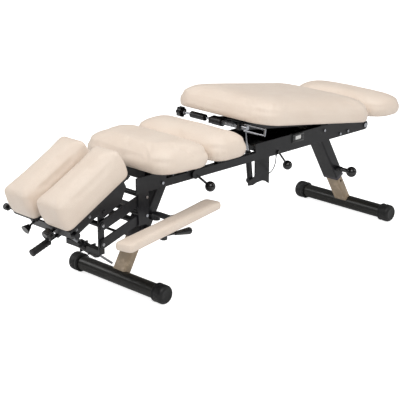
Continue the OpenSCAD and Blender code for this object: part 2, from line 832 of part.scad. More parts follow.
// Release cable from the lever down to the bracket, as depths below the beam
cable_d = 4;
cable_route = [[-42, -96, -1], [-39, -92, -11], [-33, -86, -24], [-25, -77, -40], [-16, -66, -56],
               [-8, -54, -72], [-1, -41, -87], [4, -28, -100], [7, -16, -109],
               [7, -7, -114], [4, -3, -116], [0, -3, -116]];
module release_cable() {
    color(knob_color) translate([bracket_end, 0, beam_z]) swept_tube(cable_route, cable_d);
}

// Blank plate on the near side of the beam
module blank_label() {
    label_x = hinge_x - 426;
    label_rise = 17;
    size = [50, 1.2, 17];
    color(label_color) translate([label_x - size.x / 2, -beam_y - size.y,
                                  rail_top + label_rise - size.z / 2]) cube(size);
}

// Bolts: heads on the beam and columns, and the two pelvic hinge bolts
module frame_bolts() {
    bolt_d = 11;
    bolt_h = 5;
    hinge_head_d = 20;
    gusset_spot = [gusset_len - 20, -12];
    side_spots = [[-115, -4], [-164, -7], [-265, 26]];
    rail_spots = concat([[gusset_x, rail_top] + gusset_spot],
                        [for (p = side_spots) [hinge_x, hinge_z] + p]);
    color(chrome_color) both_sides() {
        for (p = rail_spots) translate([p.x, 0, p.y]) rod_y(bolt_d, beam_y, bolt_h);
        for (z = [0, arm_gap]) translate([column_x, 0, column_z + z])
            rod_y(bolt_d, column_y + column_t, bolt_h - face_gap);
        translate([hinge_x, 0, hinge_z]) {
            rod_y(hinge_pin_d, pelvic_rail_in - cut, beam_y - pelvic_rail_in + 2 * cut);
            rod_y(hinge_head_d, beam_y, bolt_h);
        }
    }
}

// Pelvic section
module pelvic_rail_outline() {
    difference() {
        union() {
            polygon([[0, pelvic_rail_low], [0, pelvic_rail_top], [-2 * pelvic_ear_r, pelvic_rail_top],
                     [-pelvic_rail_len, pelvic_head_top], [-pelvic_rail_len, pelvic_head_low]]);
            circle(pelvic_ear_r);
            translate([-pelvic_ear_r, 0]) square([2 * pelvic_ear_r, pelvic_rail_low + cut]);
        }
        circle(d = hinge_pin_d + 2 * run_gap);
        translate([tension_x, tension_z]) circle(d = tension_rod_d + 2 * run_gap);
    }
}
module pelvic_frame() {
    bar_w = 30;
    bar_h = 14;
    bar_xs = [-210, -590, -690];
    lug_y = gas_eye_w / 2 + slide_gap;
    lug_t = 5;
    lug_back = 15;
    lug_len = 54;
    lug_h = 24;
    color(frame_color) pelvic_place() {
        both_sides() plate_xz(pelvic_rail_in, pelvic_rail_t) pelvic_rail_outline();
        for (x = bar_xs) translate([x, -pelvic_rail_in - cut, 0])
            cube([bar_w, 2 * pelvic_rail_in + 2 * cut, bar_h]);
        both_sides() translate([spring_head_x - lug_back, lug_y, -lug_h / 2])
            cube([lug_len, lug_t, lug_h]);
        translate([spring_head_x, 0, 0]) rod_y(spring_pin_d, -lug_y - cut, 2 * lug_y + 2 * cut);
        translate([tray_hinge_x, 0, tray_hinge_z])
            rod_y(tray_pin_d, -pelvic_rail_in - cut, 2 * pelvic_rail_in + 2 * cut);
    }
}
module pelvic_tray() {
    lug_y = 40;
    lug_t = 6;
    lug_r = 7;
    low = pelvic_base - board_t;
    color(frame_color) pelvic_place() {
        translate([tray_start - tray_len, -tray_w / 2, low])
            cube([tray_len, tray_w, board_t - weld_gap]);
        both_sides() plate_xz(lug_y, lug_t) translate([tray_hinge_x, tray_hinge_z]) difference() {
            union() {
                circle(lug_r);
                translate([-lug_r, 0]) square([2 * lug_r, low - tray_hinge_z + cut]);
            }
            circle(d = tray_pin_d + 2 * run_gap);
        }
    }
}
module pelvic_cushion() {
    roll = 20;
    corner = 1.4 * cushion_corner;
    color(cushion_color) pelvic_place() translate([0, 0, pelvic_base])
        stuffed_pad(-pelvic_back - pelvic_len, -pelvic_back, pelvic_w / 2, pelvic_w / 2,
                    corner, pelvic_side, pelvic_crown, roll);
}
module tension_place() { pelvic_place() translate([tension_x, 0, tension_z]) children(); }
module drop_tension_rod() {
    color(chrome_color) tension_place()
        rod_y(tension_rod_d, -tension_near, tension_near + tension_far);
}
module drop_tension_knob() {
    lobes = 7;
    knob_t = 20;
    seat = 8;
    scallop = star_d / 4;
    color(knob_color) tension_place() translate([0, tension_far - seat, 0]) rotate([-90, 0, 0])
        difference() {
            linear_extrude(knob_t) difference() {
                circle(d = star_d);
                for (i = [0 : lobes - 1]) rotate(360 * i / lobes)
                    translate([star_d / 2 + scallop / 5, 0]) circle(d = scallop);
            }
            translate([0, 0, -cut]) cylinder(d = tension_rod_d + 2 * run_gap, h = seat + cut + weld_gap);
        }
}
module drop_barrels() {
    drum_start = pelvic_rail_in - drum_len - slide_gap;
    color(frame_color) tension_place() difference() {
        union() {
            rod_y(barrel_d, barrel_start, barrel_len);
            rod_y(drum_d, drum_start, drum_len);
        }
        rod_y(tension_rod_d + 2 * weld_gap, -beam_w, 2 * beam_w);
    }
}
module drop_spring() {
    start = -pelvic_rail_in + weld_gap;
    end = pelvic_rail_in - drum_len - slide_gap - weld_gap;
    color(chrome_color) tension_place() translate([0, start, 0])
        coil_y(coil_d, coil_wire, coil_turns, end - start);
}
module loop_handle() {
    hub_end = tension_near - 8;
    far_end = hub_end + loop_hub_len;
    leg_start = hub_end + loop_hub_len / 3;
    tip = far_end + loop_len;
    color(chrome_color) tension_place() difference() {
        union() {
            rod_y(loop_hub_d, -far_end, loop_hub_len);
            for (z = [-1, 1]) translate([0, 0, z * loop_h / 2]) {
                rod_y(loop_rod_d, -tip, tip - leg_start);
                translate([0, -tip, 0]) sphere(d = loop_rod_d, $fn = 24);
                translate([0, -leg_start, 0]) sphere(d = loop_rod_d, $fn = 24);
            }
            for (y = [-tip, -leg_start]) translate([0, y, -loop_h / 2])
                cylinder(d = loop_rod_d, h = loop_h);
        }
        rod_y(tension_rod_d + 2 * weld_gap, -tension_near - weld_gap, 2 * tension_near);
    }
}

// Foot section
module foot_slide_frame() {
    board_z = foot_base_z - board_t;
    color(frame_color) {
        for (y = [-1, 1]) translate([0, y * slide_tube_y, slide_tube_z])
            rod_x(slide_tube_d, slide_tail_x, foot_plate_x - slide_tail_x + cut);
        translate([foot_plate_x, -foot_plate_w / 2, beam_z])
            cube([foot_plate_t, foot_plate_w, board_z - beam_z + cut]);
        translate([foot_cushion_x + foot_board_in, -foot_board_w / 2, board_z])
            cube([foot_cushion_len - 2 * foot_board_in, foot_board_w, board_t - weld_gap]);
    }
}
module foot_cushion() {
    roll = 14;
    side = cushion_side - 7;
    crown = cushion_crown - 4;
    color(cushion_color) translate([0, 0, foot_base_z])
        stuffed_pad(foot_cushion_x, foot_cushion_x + foot_cushion_len, foot_cushion_w / 2,
                    foot_cushion_w / 2, cushion_corner, side, crown, roll);
}

// Thoracic and lumbar sections
module thoracic_frame() {
    rail_low = rail_top + thoracic_clear;
    rail_up = cushion_z - board_t - rail_low;
    overlap = 10;
    color(frame_color) difference() {
        union() {
            both_sides() translate([thoracic_head_x, thoracic_rail_y - thoracic_rail_t, rail_low])
                cube([drop_hinge_x - thoracic_head_x + overlap, thoracic_rail_t, rail_up + cut]);
            translate([thoracic_head_x, -thoracic_rail_y, rail_low])
                cube([thoracic_rail_t, 2 * thoracic_rail_y, rail_up + cut]);
            translate([thoracic_head_x, -board_half_w, cushion_z - board_t])
                cube([drop_hinge_x - thoracic_head_x, 2 * board_half_w, board_t - weld_gap]);
        }
        translate([drop_hinge_x, 0, drop_hinge_z]) rod_y(drop_pin_d + 2 * run_gap, -beam_w, 2 * beam_w);
    }
}
module thoracic_cushion() {
    roll = 17;
    color(cushion_color) translate([0, 0, cushion_z])
        stuffed_pad(thoracic_x - thoracic_len, thoracic_x, thoracic_head_w / 2, cushion_w / 2,
                    cushion_corner, cushion_side, cushion_crown, roll);
}
module lumbar_support() {
    post_w = 30;
    post_y = beam_y - rail_t;
    board_z = cushion_z - board_t;
    first_post = thoracic_x + 24;
    last_post = -lumbar_back - 54;
    board_end = -lumbar_back - 20;
    board_start = thoracic_x + 8;
    ear_y = thoracic_rail_y + face_gap;
    ear_t = 6;
    ear_r = 10;
    ear_len = 60;
    color(frame_color) {
        for (x = [first_post, last_post]) {
            both_sides() translate([x, post_y, rail_top])
                cube([post_w, rail_t - plate_t, board_z - rail_top + cut]);
            translate([x, -beam_y + plate_t, board_z - board_t])
                cube([post_w, beam_w - 2 * plate_t, board_t + cut]);
        }
        translate([board_start, -board_half_w, board_z])
            cube([board_end - board_start, 2 * board_half_w, board_t - weld_gap]);
        both_sides() plate_xz(ear_y, ear_t) {
            translate([drop_hinge_x, drop_hinge_z - ear_r]) square([ear_len, 2 * ear_r]);
            translate([drop_hinge_x, drop_hinge_z]) circle(ear_r);
        }
        translate([drop_hinge_x, 0, drop_hinge_z]) rod_y(drop_pin_d, -ear_y - cut, 2 * ear_y + 2 * cut);
    }
}
module lumbar_cushion() {
    roll = 17;
    corner = cushion_corner - 8;
    color(cushion_color) translate([0, 0, cushion_z])
        stuffed_pad(lumbar_x, -lumbar_back, cushion_w / 2, cushion_w / 2, corner, cushion_side,
                    cushion_crown, roll);
}
module catch_spring() {
    start = [-468, -99, rail_top + 10];
    length = 66;
    coil = 13;
    wire = 2;
    turns = 9;
    peg_d = 5;
    peg_h = 18;
    color(chrome_color) {
        translate(start) rotate([0, 0, -90]) coil_y(coil, wire, turns, length);
        for (x = [-peg_d / 2 - weld_gap, length + peg_d / 2 + weld_gap])
            translate([start.x + x, start.y - (coil - wire) / 2, rail_top])
                cylinder(d = peg_d, h = peg_h);
    }
}

// Head section
module head_column() {
    low = column_z - column_foot;
    high = rail_top + gusset_rise - thoracic_clear;
    color(frame_color) {
        both_sides() translate([column_x - column_back, column_y, low])
            cube([column_w, column_t, high - low]);
        for (z = [0, arm_gap]) translate([column_x, 0, column_z + z])
            rod_y(arm_tube_d, -column_y - cut, 2 * column_y + 2 * cut);
    }
}
module lift_arms(lift, h) {
    color(frame_color) translate([0, 0, lift]) arm_place() both_sides() plate_xz(arm_y, arm_t)
        mirror([1, 0]) link_outline(arm_len, h, arm_tube_d + 2 * run_gap, [0, arm_len]);
}
module lower_lift_arms() {
    stay_d = 22;
    stay_at = -42;
    stay_drop = 3;
    rod_d = 10;
    rod_at = -128;
    lift_arms(0, arm_h);
    color(frame_color) arm_place() {
        translate([stay_at, 0, -stay_drop]) rod_y(stay_d, -arm_y - cut, 2 * arm_y + 2 * cut);
        translate([rod_at, 0, 0]) rod_y(rod_d, -arm_y - cut, 2 * arm_y + 2 * cut);
    }
}
module lift_coupler() {
    top_r = 14;
    head_d = 18;
    head_t = 3;
    ear_len = 36;
    ear_low = lock_z - 13;
    near_end = lock_ear_y + lock_ear_t;
    arm_end = arm_y + arm_t + face_gap;
    pin_end = head_rail_y + head_rail_t + face_gap;
    color(frame_color) difference() {
        union() {
            both_sides() {
                translate([coupler_x - coupler_w / 2, coupler_y, coupler_low])
                    cube([coupler_w, column_t, tilt_z - coupler_low + top_r]);
                translate([coupler_x - coupler_w / 2, lock_ear_y, coupler_low])
                    cube([coupler_w, coupler_y - lock_ear_y + cut, coupler_bar_h]);
                translate([coupler_x - coupler_w / 4, lock_ear_y, ear_low])
                    cube([ear_len, lock_ear_t, coupler_low + coupler_bar_h - ear_low]);
                for (z = [coupler_z, coupler_z + arm_gap]) translate([coupler_x, 0, z]) {
                    rod_y(arm_tube_d, coupler_y, arm_end - coupler_y + cut);
                    rod_y(arm_cap_d, arm_end, arm_cap_t);
                }
                translate([coupler_x, 0, tilt_z]) {
                    rod_y(tilt_pin_d, coupler_y, pin_end - coupler_y + cut);
                    rod_y(head_d, pin_end, head_t);
                }
            }
            translate([coupler_x, 0, coupler_z + arm_gap])
                rod_y(arm_tube_d, -coupler_y - cut, 2 * coupler_y + 2 * cut);
        }
        translate([lock_x, 0, lock_z])
            rod_y(lock_pin_d + 2 * run_gap, -near_end - cut, 2 * near_end + 2 * cut);
    }
}
module head_rail_outline() {
    nose_low = 14;
    gusset_tail = -30;
    gusset_bend = -18;
    gusset_low = -16;
    gusset_front = 76;
    gusset_tip = -21;
    difference() {
        polygon([[head_rail_tail, head_rail_low], [gusset_tail, head_rail_low],
                 [gusset_bend, gusset_low], [gusset_front, gusset_tip],
                 [head_rail_nose, nose_low], [head_rail_nose, head_rail_top],
                 [head_rail_tail, head_rail_top]]);
        circle(d = tilt_pin_d + 2 * run_gap);
    }
}
module head_frame() {
    plate = 6;
    nose_bar_low = 12;
    nose_bar_h = 17;
    lug_tail = lock_end_x - 12;
    lug_nose = lock_end_x + 12;
    lug_h = head_rail_low + 14 - lock_end_z;
    bridge_h = 6;
    bumper_d = 24;
    bumper_len = 20;
    color(frame_color) head_place() difference() {
        union() {
            both_sides() plate_xz(head_rail_y, head_rail_t) head_rail_outline();
            translate([head_rail_tail, -head_rail_y - cut, head_rail_low])
                cube([plate, 2 * head_rail_y + 2 * cut, head_rail_top - head_rail_low]);
            translate([head_rail_nose - 2 * plate, -head_rail_y - cut, nose_bar_low])
                cube([plate, 2 * head_rail_y + 2 * cut, nose_bar_h]);
            both_sides() translate([lug_tail, lock_lug_y, lock_end_z - plate])
                cube([lug_nose - lug_tail, lock_lug_t, lug_h]);
            translate([head_rail_tail, -lock_lug_y - lock_lug_t, head_rail_low])
                cube([lug_nose - head_rail_tail, 2 * lock_lug_y + 2 * lock_lug_t, bridge_h]);
            translate([lock_end_x, 0, lock_end_z])
                rod_y(lock_end_pin_d, -lock_lug_y - cut, 2 * lock_lug_y + 2 * cut);
            translate([head_drop_x, 0, head_drop_z])
                rod_y(head_drop_pin_d, -head_rail_y - cut, 2 * head_rail_y + 2 * cut);
            translate([head_rail_tail + bumper_d / 2, 0, head_rail_low + bumper_d / 2])
                rod_y(bumper_d, -head_rail_y - head_rail_t - bumper_len, bumper_len + cut);
        }
        translate([head_rail_tail - cut, bell_y, bell_z])
            rod_x(bell_rod_d + 2 * run_gap, 0, plate + 2 * cut);
        translate([head_rail_tail - cut, dial_y, dial_z])
            rod_x(dial_pin_d + 2 * run_gap, 0, plate + 2 * cut);
    }
}
module head_drop_tray() {
    lug_y = 60;
    lug_t = 6;
    lug_r = 8;
    flange = 4;
    color(frame_color) head_place() {
        translate([drop_tray_tail, -drop_tray_y, drop_tray_z])
            cube([head_drop_x + lug_r - drop_tray_tail, 2 * drop_tray_y, drop_tray_t]);
        both_sides() translate([drop_tray_tail, drop_tray_y - flange, drop_tray_z])
            cube([head_drop_x - drop_tray_tail, flange, drop_flange_h]);
        for (x = pad_rod_xs) translate([x, 0, pad_rod_z])
            rod_y(pad_rod_d, -drop_tray_y, 2 * drop_tray_y);
        both_sides() plate_xz(lug_y, lug_t) translate([head_drop_x, head_drop_z]) difference() {
            union() {
                circle(lug_r);
                translate([-lug_r, 0]) square([2 * lug_r, drop_tray_z - head_drop_z + cut]);
            }
            circle(d = head_drop_pin_d + 2 * run_gap);
        }
    }
}
module pad_board(side) {
    inner = pad_slot / 2 + pad_board_in;
    outer = pad_slot / 2 + pad_w - pad_board_in;
    board_h = pad_base - pad_board_low - weld_gap;
    color(frame_color) head_place() mirror([0, side < 0 ? 1 : 0, 0]) difference() {
        union() {
            translate([pad_front - pad_len + pad_board_in, inner, pad_board_low])
                cube([pad_len - 2 * pad_board_in - pad_lean, outer - inner, board_h]);
            for (x = pad_rod_xs) translate([x - runner_len / 2, runner_y, runner_low])
                cube([runner_len, runner_w, pad_board_low - runner_low + cut]);
            if (side > 0) translate([width_x - width_block / 2, outer - width_block, width_block_low])
                cube([width_block, width_block_end - outer + width_block,
                      pad_board_low - width_block_low + board_h]);
        }
        for (x = pad_rod_xs) translate([x, 0, pad_rod_z])
            rod_y(pad_rod_d + 2 * run_gap, runner_y - cut, runner_w + 2 * cut);
        if (side > 0) translate([width_x, 0, width_z])
            rod_y(width_pin_d + 2 * run_gap, outer + cut, width_block_end - outer);
    }
}
module head_pad(side) {
    roll = 15;
    corner = 24;
    y = pad_slot / 2 + pad_w / 2;
    color(cushion_color) head_place() translate([0, side * y, pad_base])
        stuffed_pad(pad_front - pad_len, pad_front, pad_w / 2, pad_w / 2, corner, pad_side,
                    pad_crown, roll, pad_lean);
}
module tilt_lock_body() {
    near_end = lock_ear_y + lock_ear_t;
    collar_d = 24;
    collar_len = 10;
    color(frame_color) lock_place() difference() {
        union() {
            rod_x(lock_body_d, -lock_body_len / 2, lock_body_len);
            rod_x(collar_d, -lock_body_len / 2 - collar_len, lock_body_len + 2 * collar_len);
            rod_y(lock_pin_d, -near_end, 2 * near_end);
        }
        rod_x(lock_rod_d + 2 * run_gap, -lock_body_len, 2 * lock_body_len);
    }
}
module tilt_lock_rod() {
    eye_d = 19;
    eye_w = 10;
    color(chrome_color) lock_place() translate([-lock_span, 0, 0]) difference() {
        union() {
            rod_x(lock_rod_d, 0, lock_span + lock_rod_tail);
            rod_y(eye_d, -eye_w / 2, eye_w);
        }
        rod_y(lock_end_pin_d + 2 * open_lock_gap, -eye_w, 2 * eye_w);
    }
}
module handle_place() {
    translate([lock_end.x, 0, lock_end.y]) rotate([0, -handle_fall, 0]) children();
}
module release_handle() {
    eye_r = 8;
    clear_r = 13;
    color(frame_color) handle_place() difference() {
        union() {
            rod_x(handle_rod_d, -handle_len + weld_gap, handle_len - clear_r);
            both_sides() plate_xz(fork_y, fork_t) {
                circle(eye_r);
                translate([-fork_len, -handle_rod_d / 2]) square([fork_len, handle_rod_d]);
            }
            translate([-fork_len, -fork_y - cut, -handle_rod_d / 2])
                cube([fork_len - clear_r - cut, 2 * fork_y + 2 * cut, handle_rod_d]);
        }
        rod_y(lock_end_pin_d + 2 * run_gap, -beam_w, 2 * beam_w);
    }
}
module handle_grip() {
    end_wall = 6;
    color(rubber_color) handle_place() difference() {
        rod_x(grip_d, -handle_len - end_wall, grip_len);
        rod_x(handle_rod_d + 2 * weld_gap, -handle_len, 2 * handle_len);
    }
}
module head_cocking_knob() {
    rod_out = 30;
    bell_len = 24;
    bell_d = 36;
    neck_d = 16;
    color(knob_color) head_place() translate([head_rail_tail, bell_y, bell_z]) {
        rod_x(bell_rod_d, -rod_out - cut, rod_out + knob_tail + cut);
        translate([-rod_out, 0, 0]) rotate([0, -90, 0]) cylinder(d1 = neck_d, d2 = bell_d, h = bell_len);
    }
}
module head_tension_knob() {
    pin_out = 20;
    color(knob_color) head_place() translate([head_rail_tail, dial_y, dial_z]) {
        rod_x(dial_pin_d, -pin_out - cut, pin_out + knob_tail + cut);
        rod_x(dial_d, -pin_out - dial_len, dial_len);
    }
}
module width_knob() {
    seat = width_block_end - width_block;
    color(knob_color) head_place() translate([width_x, 0, width_z]) {
        rod_y(width_pin_d, seat, width_start - seat + cut);
        rod_y(width_d, width_start, width_len);
    }
}

// Armrests, drawn for the far side
module swing_arm(side) {
    v = [rest_pivot_x - swing_x, rest_pivot_y - swing_y - swing_knee];
    pin_drop = swing_boss_h + 3;
    bar = swing_t - face_gap;
    knee_d = swing_w + 3;
    color(frame_color) mirror([0, side < 0 ? 1 : 0, 0])
        translate([swing_x, swing_y, rest_z - swing_step - swing_t]) {
            rotate(90) linear_extrude(bar) link_outline(swing_knee, swing_w, swing_pin_d, []);
            translate([0, 0, -pin_drop]) cylinder(d = swing_pin_d, h = pin_drop + cut);
            translate([0, swing_knee, 0]) {
                cylinder(d = knee_d, h = swing_step + bar);
                translate([0, 0, swing_step]) rotate(atan2(v.y, v.x)) linear_extrude(bar)
                    link_outline(norm(v), swing_w, swing_pin_d + 2 * run_gap, [norm(v)]);
            }
        }
}
module armrest(side) {
    roll = 8;
    corner = 23;
    bolt_len = 33;
    turn = side < 0 ? 0 : far_rest_turn;
    color(cushion_color) mirror([0, side < 0 ? 1 : 0, 0])
        translate([rest_pivot_x, rest_pivot_y, rest_z]) rotate(turn) {
            translate([rest_out_x, rest_out_y, 0]) rotate(-rest_yaw)
                stuffed_pad(-rest_len / 2, rest_len / 2, rest_w / 2, rest_w / 2, corner,
                            rest_side, rest_crown, roll);
            translate([0, 0, -bolt_len]) cylinder(d = swing_pin_d, h = bolt_len + rest_side / 2);
        }
}
module clamp_lever(side) {
    top = rest_z - swing_t - face_gap;
    clamp_pitch = 95.5;
    root = clamp_len - clamp_grip;
    color(knob_color) mirror([0, side < 0 ? 1 : 0, 0]) translate([rest_pivot_x, rest_pivot_y, top])
        difference() {
            union() {
                translate([0, 0, -clamp_hub_h]) cylinder(d = clamp_hub_d, h = clamp_hub_h);
                translate([0, 0, -clamp_drop]) rotate([0, clamp_pitch, 0]) {
                    cylinder(d = clamp_rod_d, h = root + cut);
                    translate([0, 0, root])
                        cylinder(d1 = clamp_root_d, d2 = clamp_d, h = clamp_grip - clamp_d / 2);
                    translate([0, 0, clamp_len - clamp_d / 2]) sphere(d = clamp_d);
                }
            }
            translate([0, 0, -clamp_hub_h - cut])
                cylinder(d = swing_pin_d + 2 * run_gap, h = clamp_hub_h + 2 * cut);
        }
}

placed() beam_frame();
placed() leg_sleeve(-1);  // front_leg_sleeve
placed() leg_sleeve(1);  // rear_leg_sleeve
placed() leg_bushings();
placed() inner_leg(-1);  // front_inner_leg
placed() inner_leg(1);  // rear_inner_leg
placed() foot_tube(-1);  // front_foot_tube
placed() foot_tube(1);  // rear_foot_tube
placed() foot_caps(-1);  // front_foot_caps
placed() foot_caps(1);  // rear_foot_caps
placed() pull_pin(-1);  // front_pull_pin
placed() pull_pin(1);  // rear_pull_pin
placed() lift_bracket();
placed() gas_spring_cylinder();
placed() gas_spring_rod();
placed() lift_release_lever();
placed() release_cable();
placed() blank_label();
placed() frame_bolts();
placed() pelvic_frame();
placed() pelvic_tray();
placed() pelvic_cushion();
placed() drop_tension_rod();
placed() drop_tension_knob();
placed() drop_barrels();
placed() drop_spring();
placed() loop_handle();
placed() foot_slide_frame();
placed() foot_cushion();
placed() thoracic_frame();
placed() thoracic_cushion();
placed() lumbar_support();
placed() lumbar_cushion();
placed() thoracic_lever();
placed() thoracic_lever_ball();
placed() catch_spring();
placed() head_column();
placed() lift_arms(arm_gap, arm_h + upper_arm_extra);  // upper_lift_arms
placed() lower_lift_arms();
placed() lift_coupler();
placed() head_frame();
placed() head_drop_tray();
placed() pad_board(-1);  // near_pad_board
placed() pad_board(1);  // far_pad_board
placed() head_pad(-1);  // near_head_pad
placed() head_pad(1);  // far_head_pad
placed() tilt_lock_body();
placed() tilt_lock_rod();
placed() release_handle();
placed() handle_grip();
placed() head_cocking_knob();
placed() head_tension_knob();
placed() width_knob();
placed() swing_arm(-1);  // near_swing_arm
placed() armrest(-1);  // near_armrest
placed() clamp_lever(-1);  // near_clamp_lever
placed() swing_arm(1);  // far_swing_arm
placed() armrest(1);  // far_armrest
placed() clamp_lever(1);  // far_clamp_lever
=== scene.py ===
"""Looks of the chiropractic table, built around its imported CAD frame. Metres, in the row frame."""
import json
import math

import bmesh
import bpy
import numpy as np
from mathutils import Matrix, Vector, noise


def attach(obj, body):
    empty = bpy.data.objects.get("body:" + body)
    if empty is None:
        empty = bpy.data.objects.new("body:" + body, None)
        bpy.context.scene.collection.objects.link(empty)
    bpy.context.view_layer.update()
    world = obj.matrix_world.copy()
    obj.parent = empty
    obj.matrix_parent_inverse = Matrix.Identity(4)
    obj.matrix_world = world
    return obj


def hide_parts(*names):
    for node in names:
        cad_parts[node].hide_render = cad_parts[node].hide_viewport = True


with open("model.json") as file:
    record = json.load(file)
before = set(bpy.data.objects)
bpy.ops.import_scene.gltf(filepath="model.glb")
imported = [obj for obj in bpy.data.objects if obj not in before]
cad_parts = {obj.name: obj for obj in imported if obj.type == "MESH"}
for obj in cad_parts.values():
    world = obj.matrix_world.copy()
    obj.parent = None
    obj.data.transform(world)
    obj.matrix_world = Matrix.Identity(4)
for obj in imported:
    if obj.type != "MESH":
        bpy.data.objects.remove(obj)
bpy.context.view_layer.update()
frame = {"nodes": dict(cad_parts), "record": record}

SHIFT = 0.15401           # the CAD source's own middle stands this far from the row's origin
MM = 0.001
scene = bpy.context.scene


def at(x, y, z):
    """A point of the CAD source, in its millimetres, as a point of the row frame."""
    return Vector((x * MM + SHIFT, y * MM, z * MM))


# Camera
PHOTO = 400
FOCAL_PX = 1316.0
SENSOR = 36.0
CAM_AT = Vector((-3.62609 + SHIFT, -3.44664, 1.81326))
CAM_YAW, CAM_PITCH = 0.792705, 0.314657     # radians

cam_data = bpy.data.cameras.new("photo_camera")
cam_data.sensor_width = SENSOR
cam_data.lens = FOCAL_PX / PHOTO * SENSOR
camera = bpy.data.objects.new("photo_camera", cam_data)
scene.collection.objects.link(camera)
look = Vector((math.cos(CAM_YAW) * math.cos(CAM_PITCH), math.sin(CAM_YAW) * math.cos(CAM_PITCH),
               -math.sin(CAM_PITCH)))
camera.location = CAM_AT
camera.rotation_mode = "QUATERNION"
camera.rotation_quaternion = look.to_track_quat("-Z", "Y")
cam_data.clip_start, cam_data.clip_end = 0.1, 60
scene.camera = camera
scene.view_settings.view_transform = "Standard"


# Materials
# How fine a surface's grain is, as the texture's scale for a metre
PEBBLES, ORANGE_PEEL, RUBBER_GRAIN = 650, 700, 1400


def srgb(r, g, b):
    """An sRGB colour, 0 to 255, as linear values."""
    return tuple((c / 255 / 12.92) if c <= 10 else ((c / 255 + 0.055) / 1.055) ** 2.4
                 for c in (r, g, b)) + (1.0,)


def times(color, by):
    """A linear colour made darker or brighter."""
    return tuple(min(1, c * by) for c in color[:3]) + (1,)


class Nodes:
    """A short way to write a node material in Object coordinates."""

    def __init__(self, name):
        self.mat = bpy.data.materials.new(name)
        self.mat.use_nodes = True
        self.tree = self.mat.node_tree
        self.shader = self.tree.nodes["Principled BSDF"]
        self.coord = self.add("ShaderNodeTexCoord").outputs["Object"]

    def put(self, socket, value):
        """A link from another node's output, or else a plain value."""
        if isinstance(value, bpy.types.NodeSocket):
            self.tree.links.new(value, socket)
        else:
            socket.default_value = value

    def add(self, kind, **inputs):
        node = self.tree.nodes.new(kind)
        for name, value in inputs.items():
            self.put(node.inputs[name], value)
        return node

    def noise(self, scale, detail=3.0, rough=0.55, stretch=None):
        where = self.stretched(stretch) if stretch else self.coord
        return self.add("ShaderNodeTexNoise", Vector=where, Scale=scale, Detail=detail,
                        Roughness=rough).outputs["Fac"]

    def stretched(self, stretch):
        mapping = self.add("ShaderNodeMapping", Vector=self.coord)
        mapping.inputs["Scale"].default_value = stretch
        return mapping.outputs["Vector"]

    def cells(self, scale):
        """The distance to the nearest edge between cells."""
        node = self.add("ShaderNodeTexVoronoi", Vector=self.coord, Scale=scale)
        node.feature = "DISTANCE_TO_EDGE"
        return node.outputs["Distance"]

    def span(self, value, low, high, to_low, to_high):
        """The value's part between low and high, stretched to a new range."""
        node = self.add("ShaderNodeMapRange", Value=value)
        node.inputs["From Min"].default_value = low
        node.inputs["From Max"].default_value = high
        node.inputs["To Min"].default_value = to_low
        node.inputs["To Max"].default_value = to_high
        return node.outputs["Result"]

    def mix(self, fac, a, b):
        """A mix of two colours. The sockets go by number, because each kind has its own."""
        node = self.tree.nodes.new("ShaderNodeMix")
        node.data_type = "RGBA"
        for number, value in ((0, fac), (6, a), (7, b)):
            self.put(node.inputs[number], value)
        return node.outputs[2]

    def math(self, operation, a, b):
        node = self.tree.nodes.new("ShaderNodeMath")
        node.operation = operation
        for socket, value in zip(node.inputs, (a, b)):
            self.put(socket, value)
        return node.outputs[0]

    def bump(self, height, strength, distance, normal=None):
        node = self.add("ShaderNodeBump", Height=height, Strength=strength, Distance=distance)
        if normal:
            self.put(node.inputs["Normal"], normal)
        return node.outputs["Normal"]

    def finish(self, color, rough, normal, metallic=0.0, **sockets):
        for name, value in {"Base Color": color, "Roughness": rough, "Metallic": metallic,
                            **sockets, "Normal": normal}.items():
            self.put(self.shader.inputs[name], value)
        return self.mat


def vinyl(name, color, shade):
    """Vinyl with a fine pebble grain, painted shade in the grain's grooves, faint mottling and soft
    pull marks.
    """
    n = Nodes(name)
    tone = n.span(n.noise(9, 4), 0.3, 0.7, 0, 1)
    pits = n.cells(PEBBLES)
    base = n.mix(tone, color, shade)
    # painted shade: the grooves between the pebbles are darkened towards a darker copy of the second
    # tone
    base = n.mix(n.span(pits, 0.0, 0.12, 0.35, 0.0), base, times(shade, 0.72))
    rough = n.span(n.noise(60, 3), 0.3, 0.7, 0.30, 0.40)
    soft = n.bump(n.noise(26, 2), 0.22, 0.004)
    grain = n.bump(n.span(pits, 0.0, 0.25, 0, 1), 0.32, 0.0006, soft)
    return n.finish(base, rough, grain, **{"Specular IOR Level": 0.5, "Sheen Weight": 0.06,
                                           "Sheen Roughness": 0.4})


def powder_coat(name, color, worn, rough=(0.30, 0.42), peel=0.30):
    """Satin powder coat: orange peel, dusty patches, and paint rubbed thin along the edges."""
    n = Nodes(name)
    geometry = n.add("ShaderNodeNewGeometry")
    edge = n.span(geometry.outputs["Pointiness"], 0.52, 0.60, 0, 1)
    scuffs = n.span(n.noise(30, 4, 0.6), 0.52, 0.72, 0, 0.6)
    wear = n.math("MULTIPLY", edge, scuffs)
    dust = n.span(n.noise(4, 2), 0.35, 0.8, 0, 0.5)
    base = n.mix(dust, color, worn)
    base = n.mix(wear, base, times(worn, 1.7))
    gloss = n.span(n.noise(11, 3), 0.3, 0.7, *rough)
    peel_bump = n.bump(n.noise(ORANGE_PEEL, 2), peel, 0.0003)
    return n.finish(base, gloss, peel_bump, **{"Specular IOR Level": 0.4})


def rubber(name, color, worn):
    """Matt rubber with a fine grain, and paler where it is scuffed."""
    n = Nodes(name)
    scuffs = n.span(n.noise(80, 6, 0.7), 0.48, 0.75, 0, 0.7)
    base = n.mix(scuffs, color, worn)
    grain = n.bump(n.noise(RUBBER_GRAIN, 2), 0.35, 0.0005)
    return n.finish(base, n.span(n.noise(25, 3), 0.3, 0.7, 0.38, 0.52), grain,
                    **{"Specular IOR Level": 0.45})


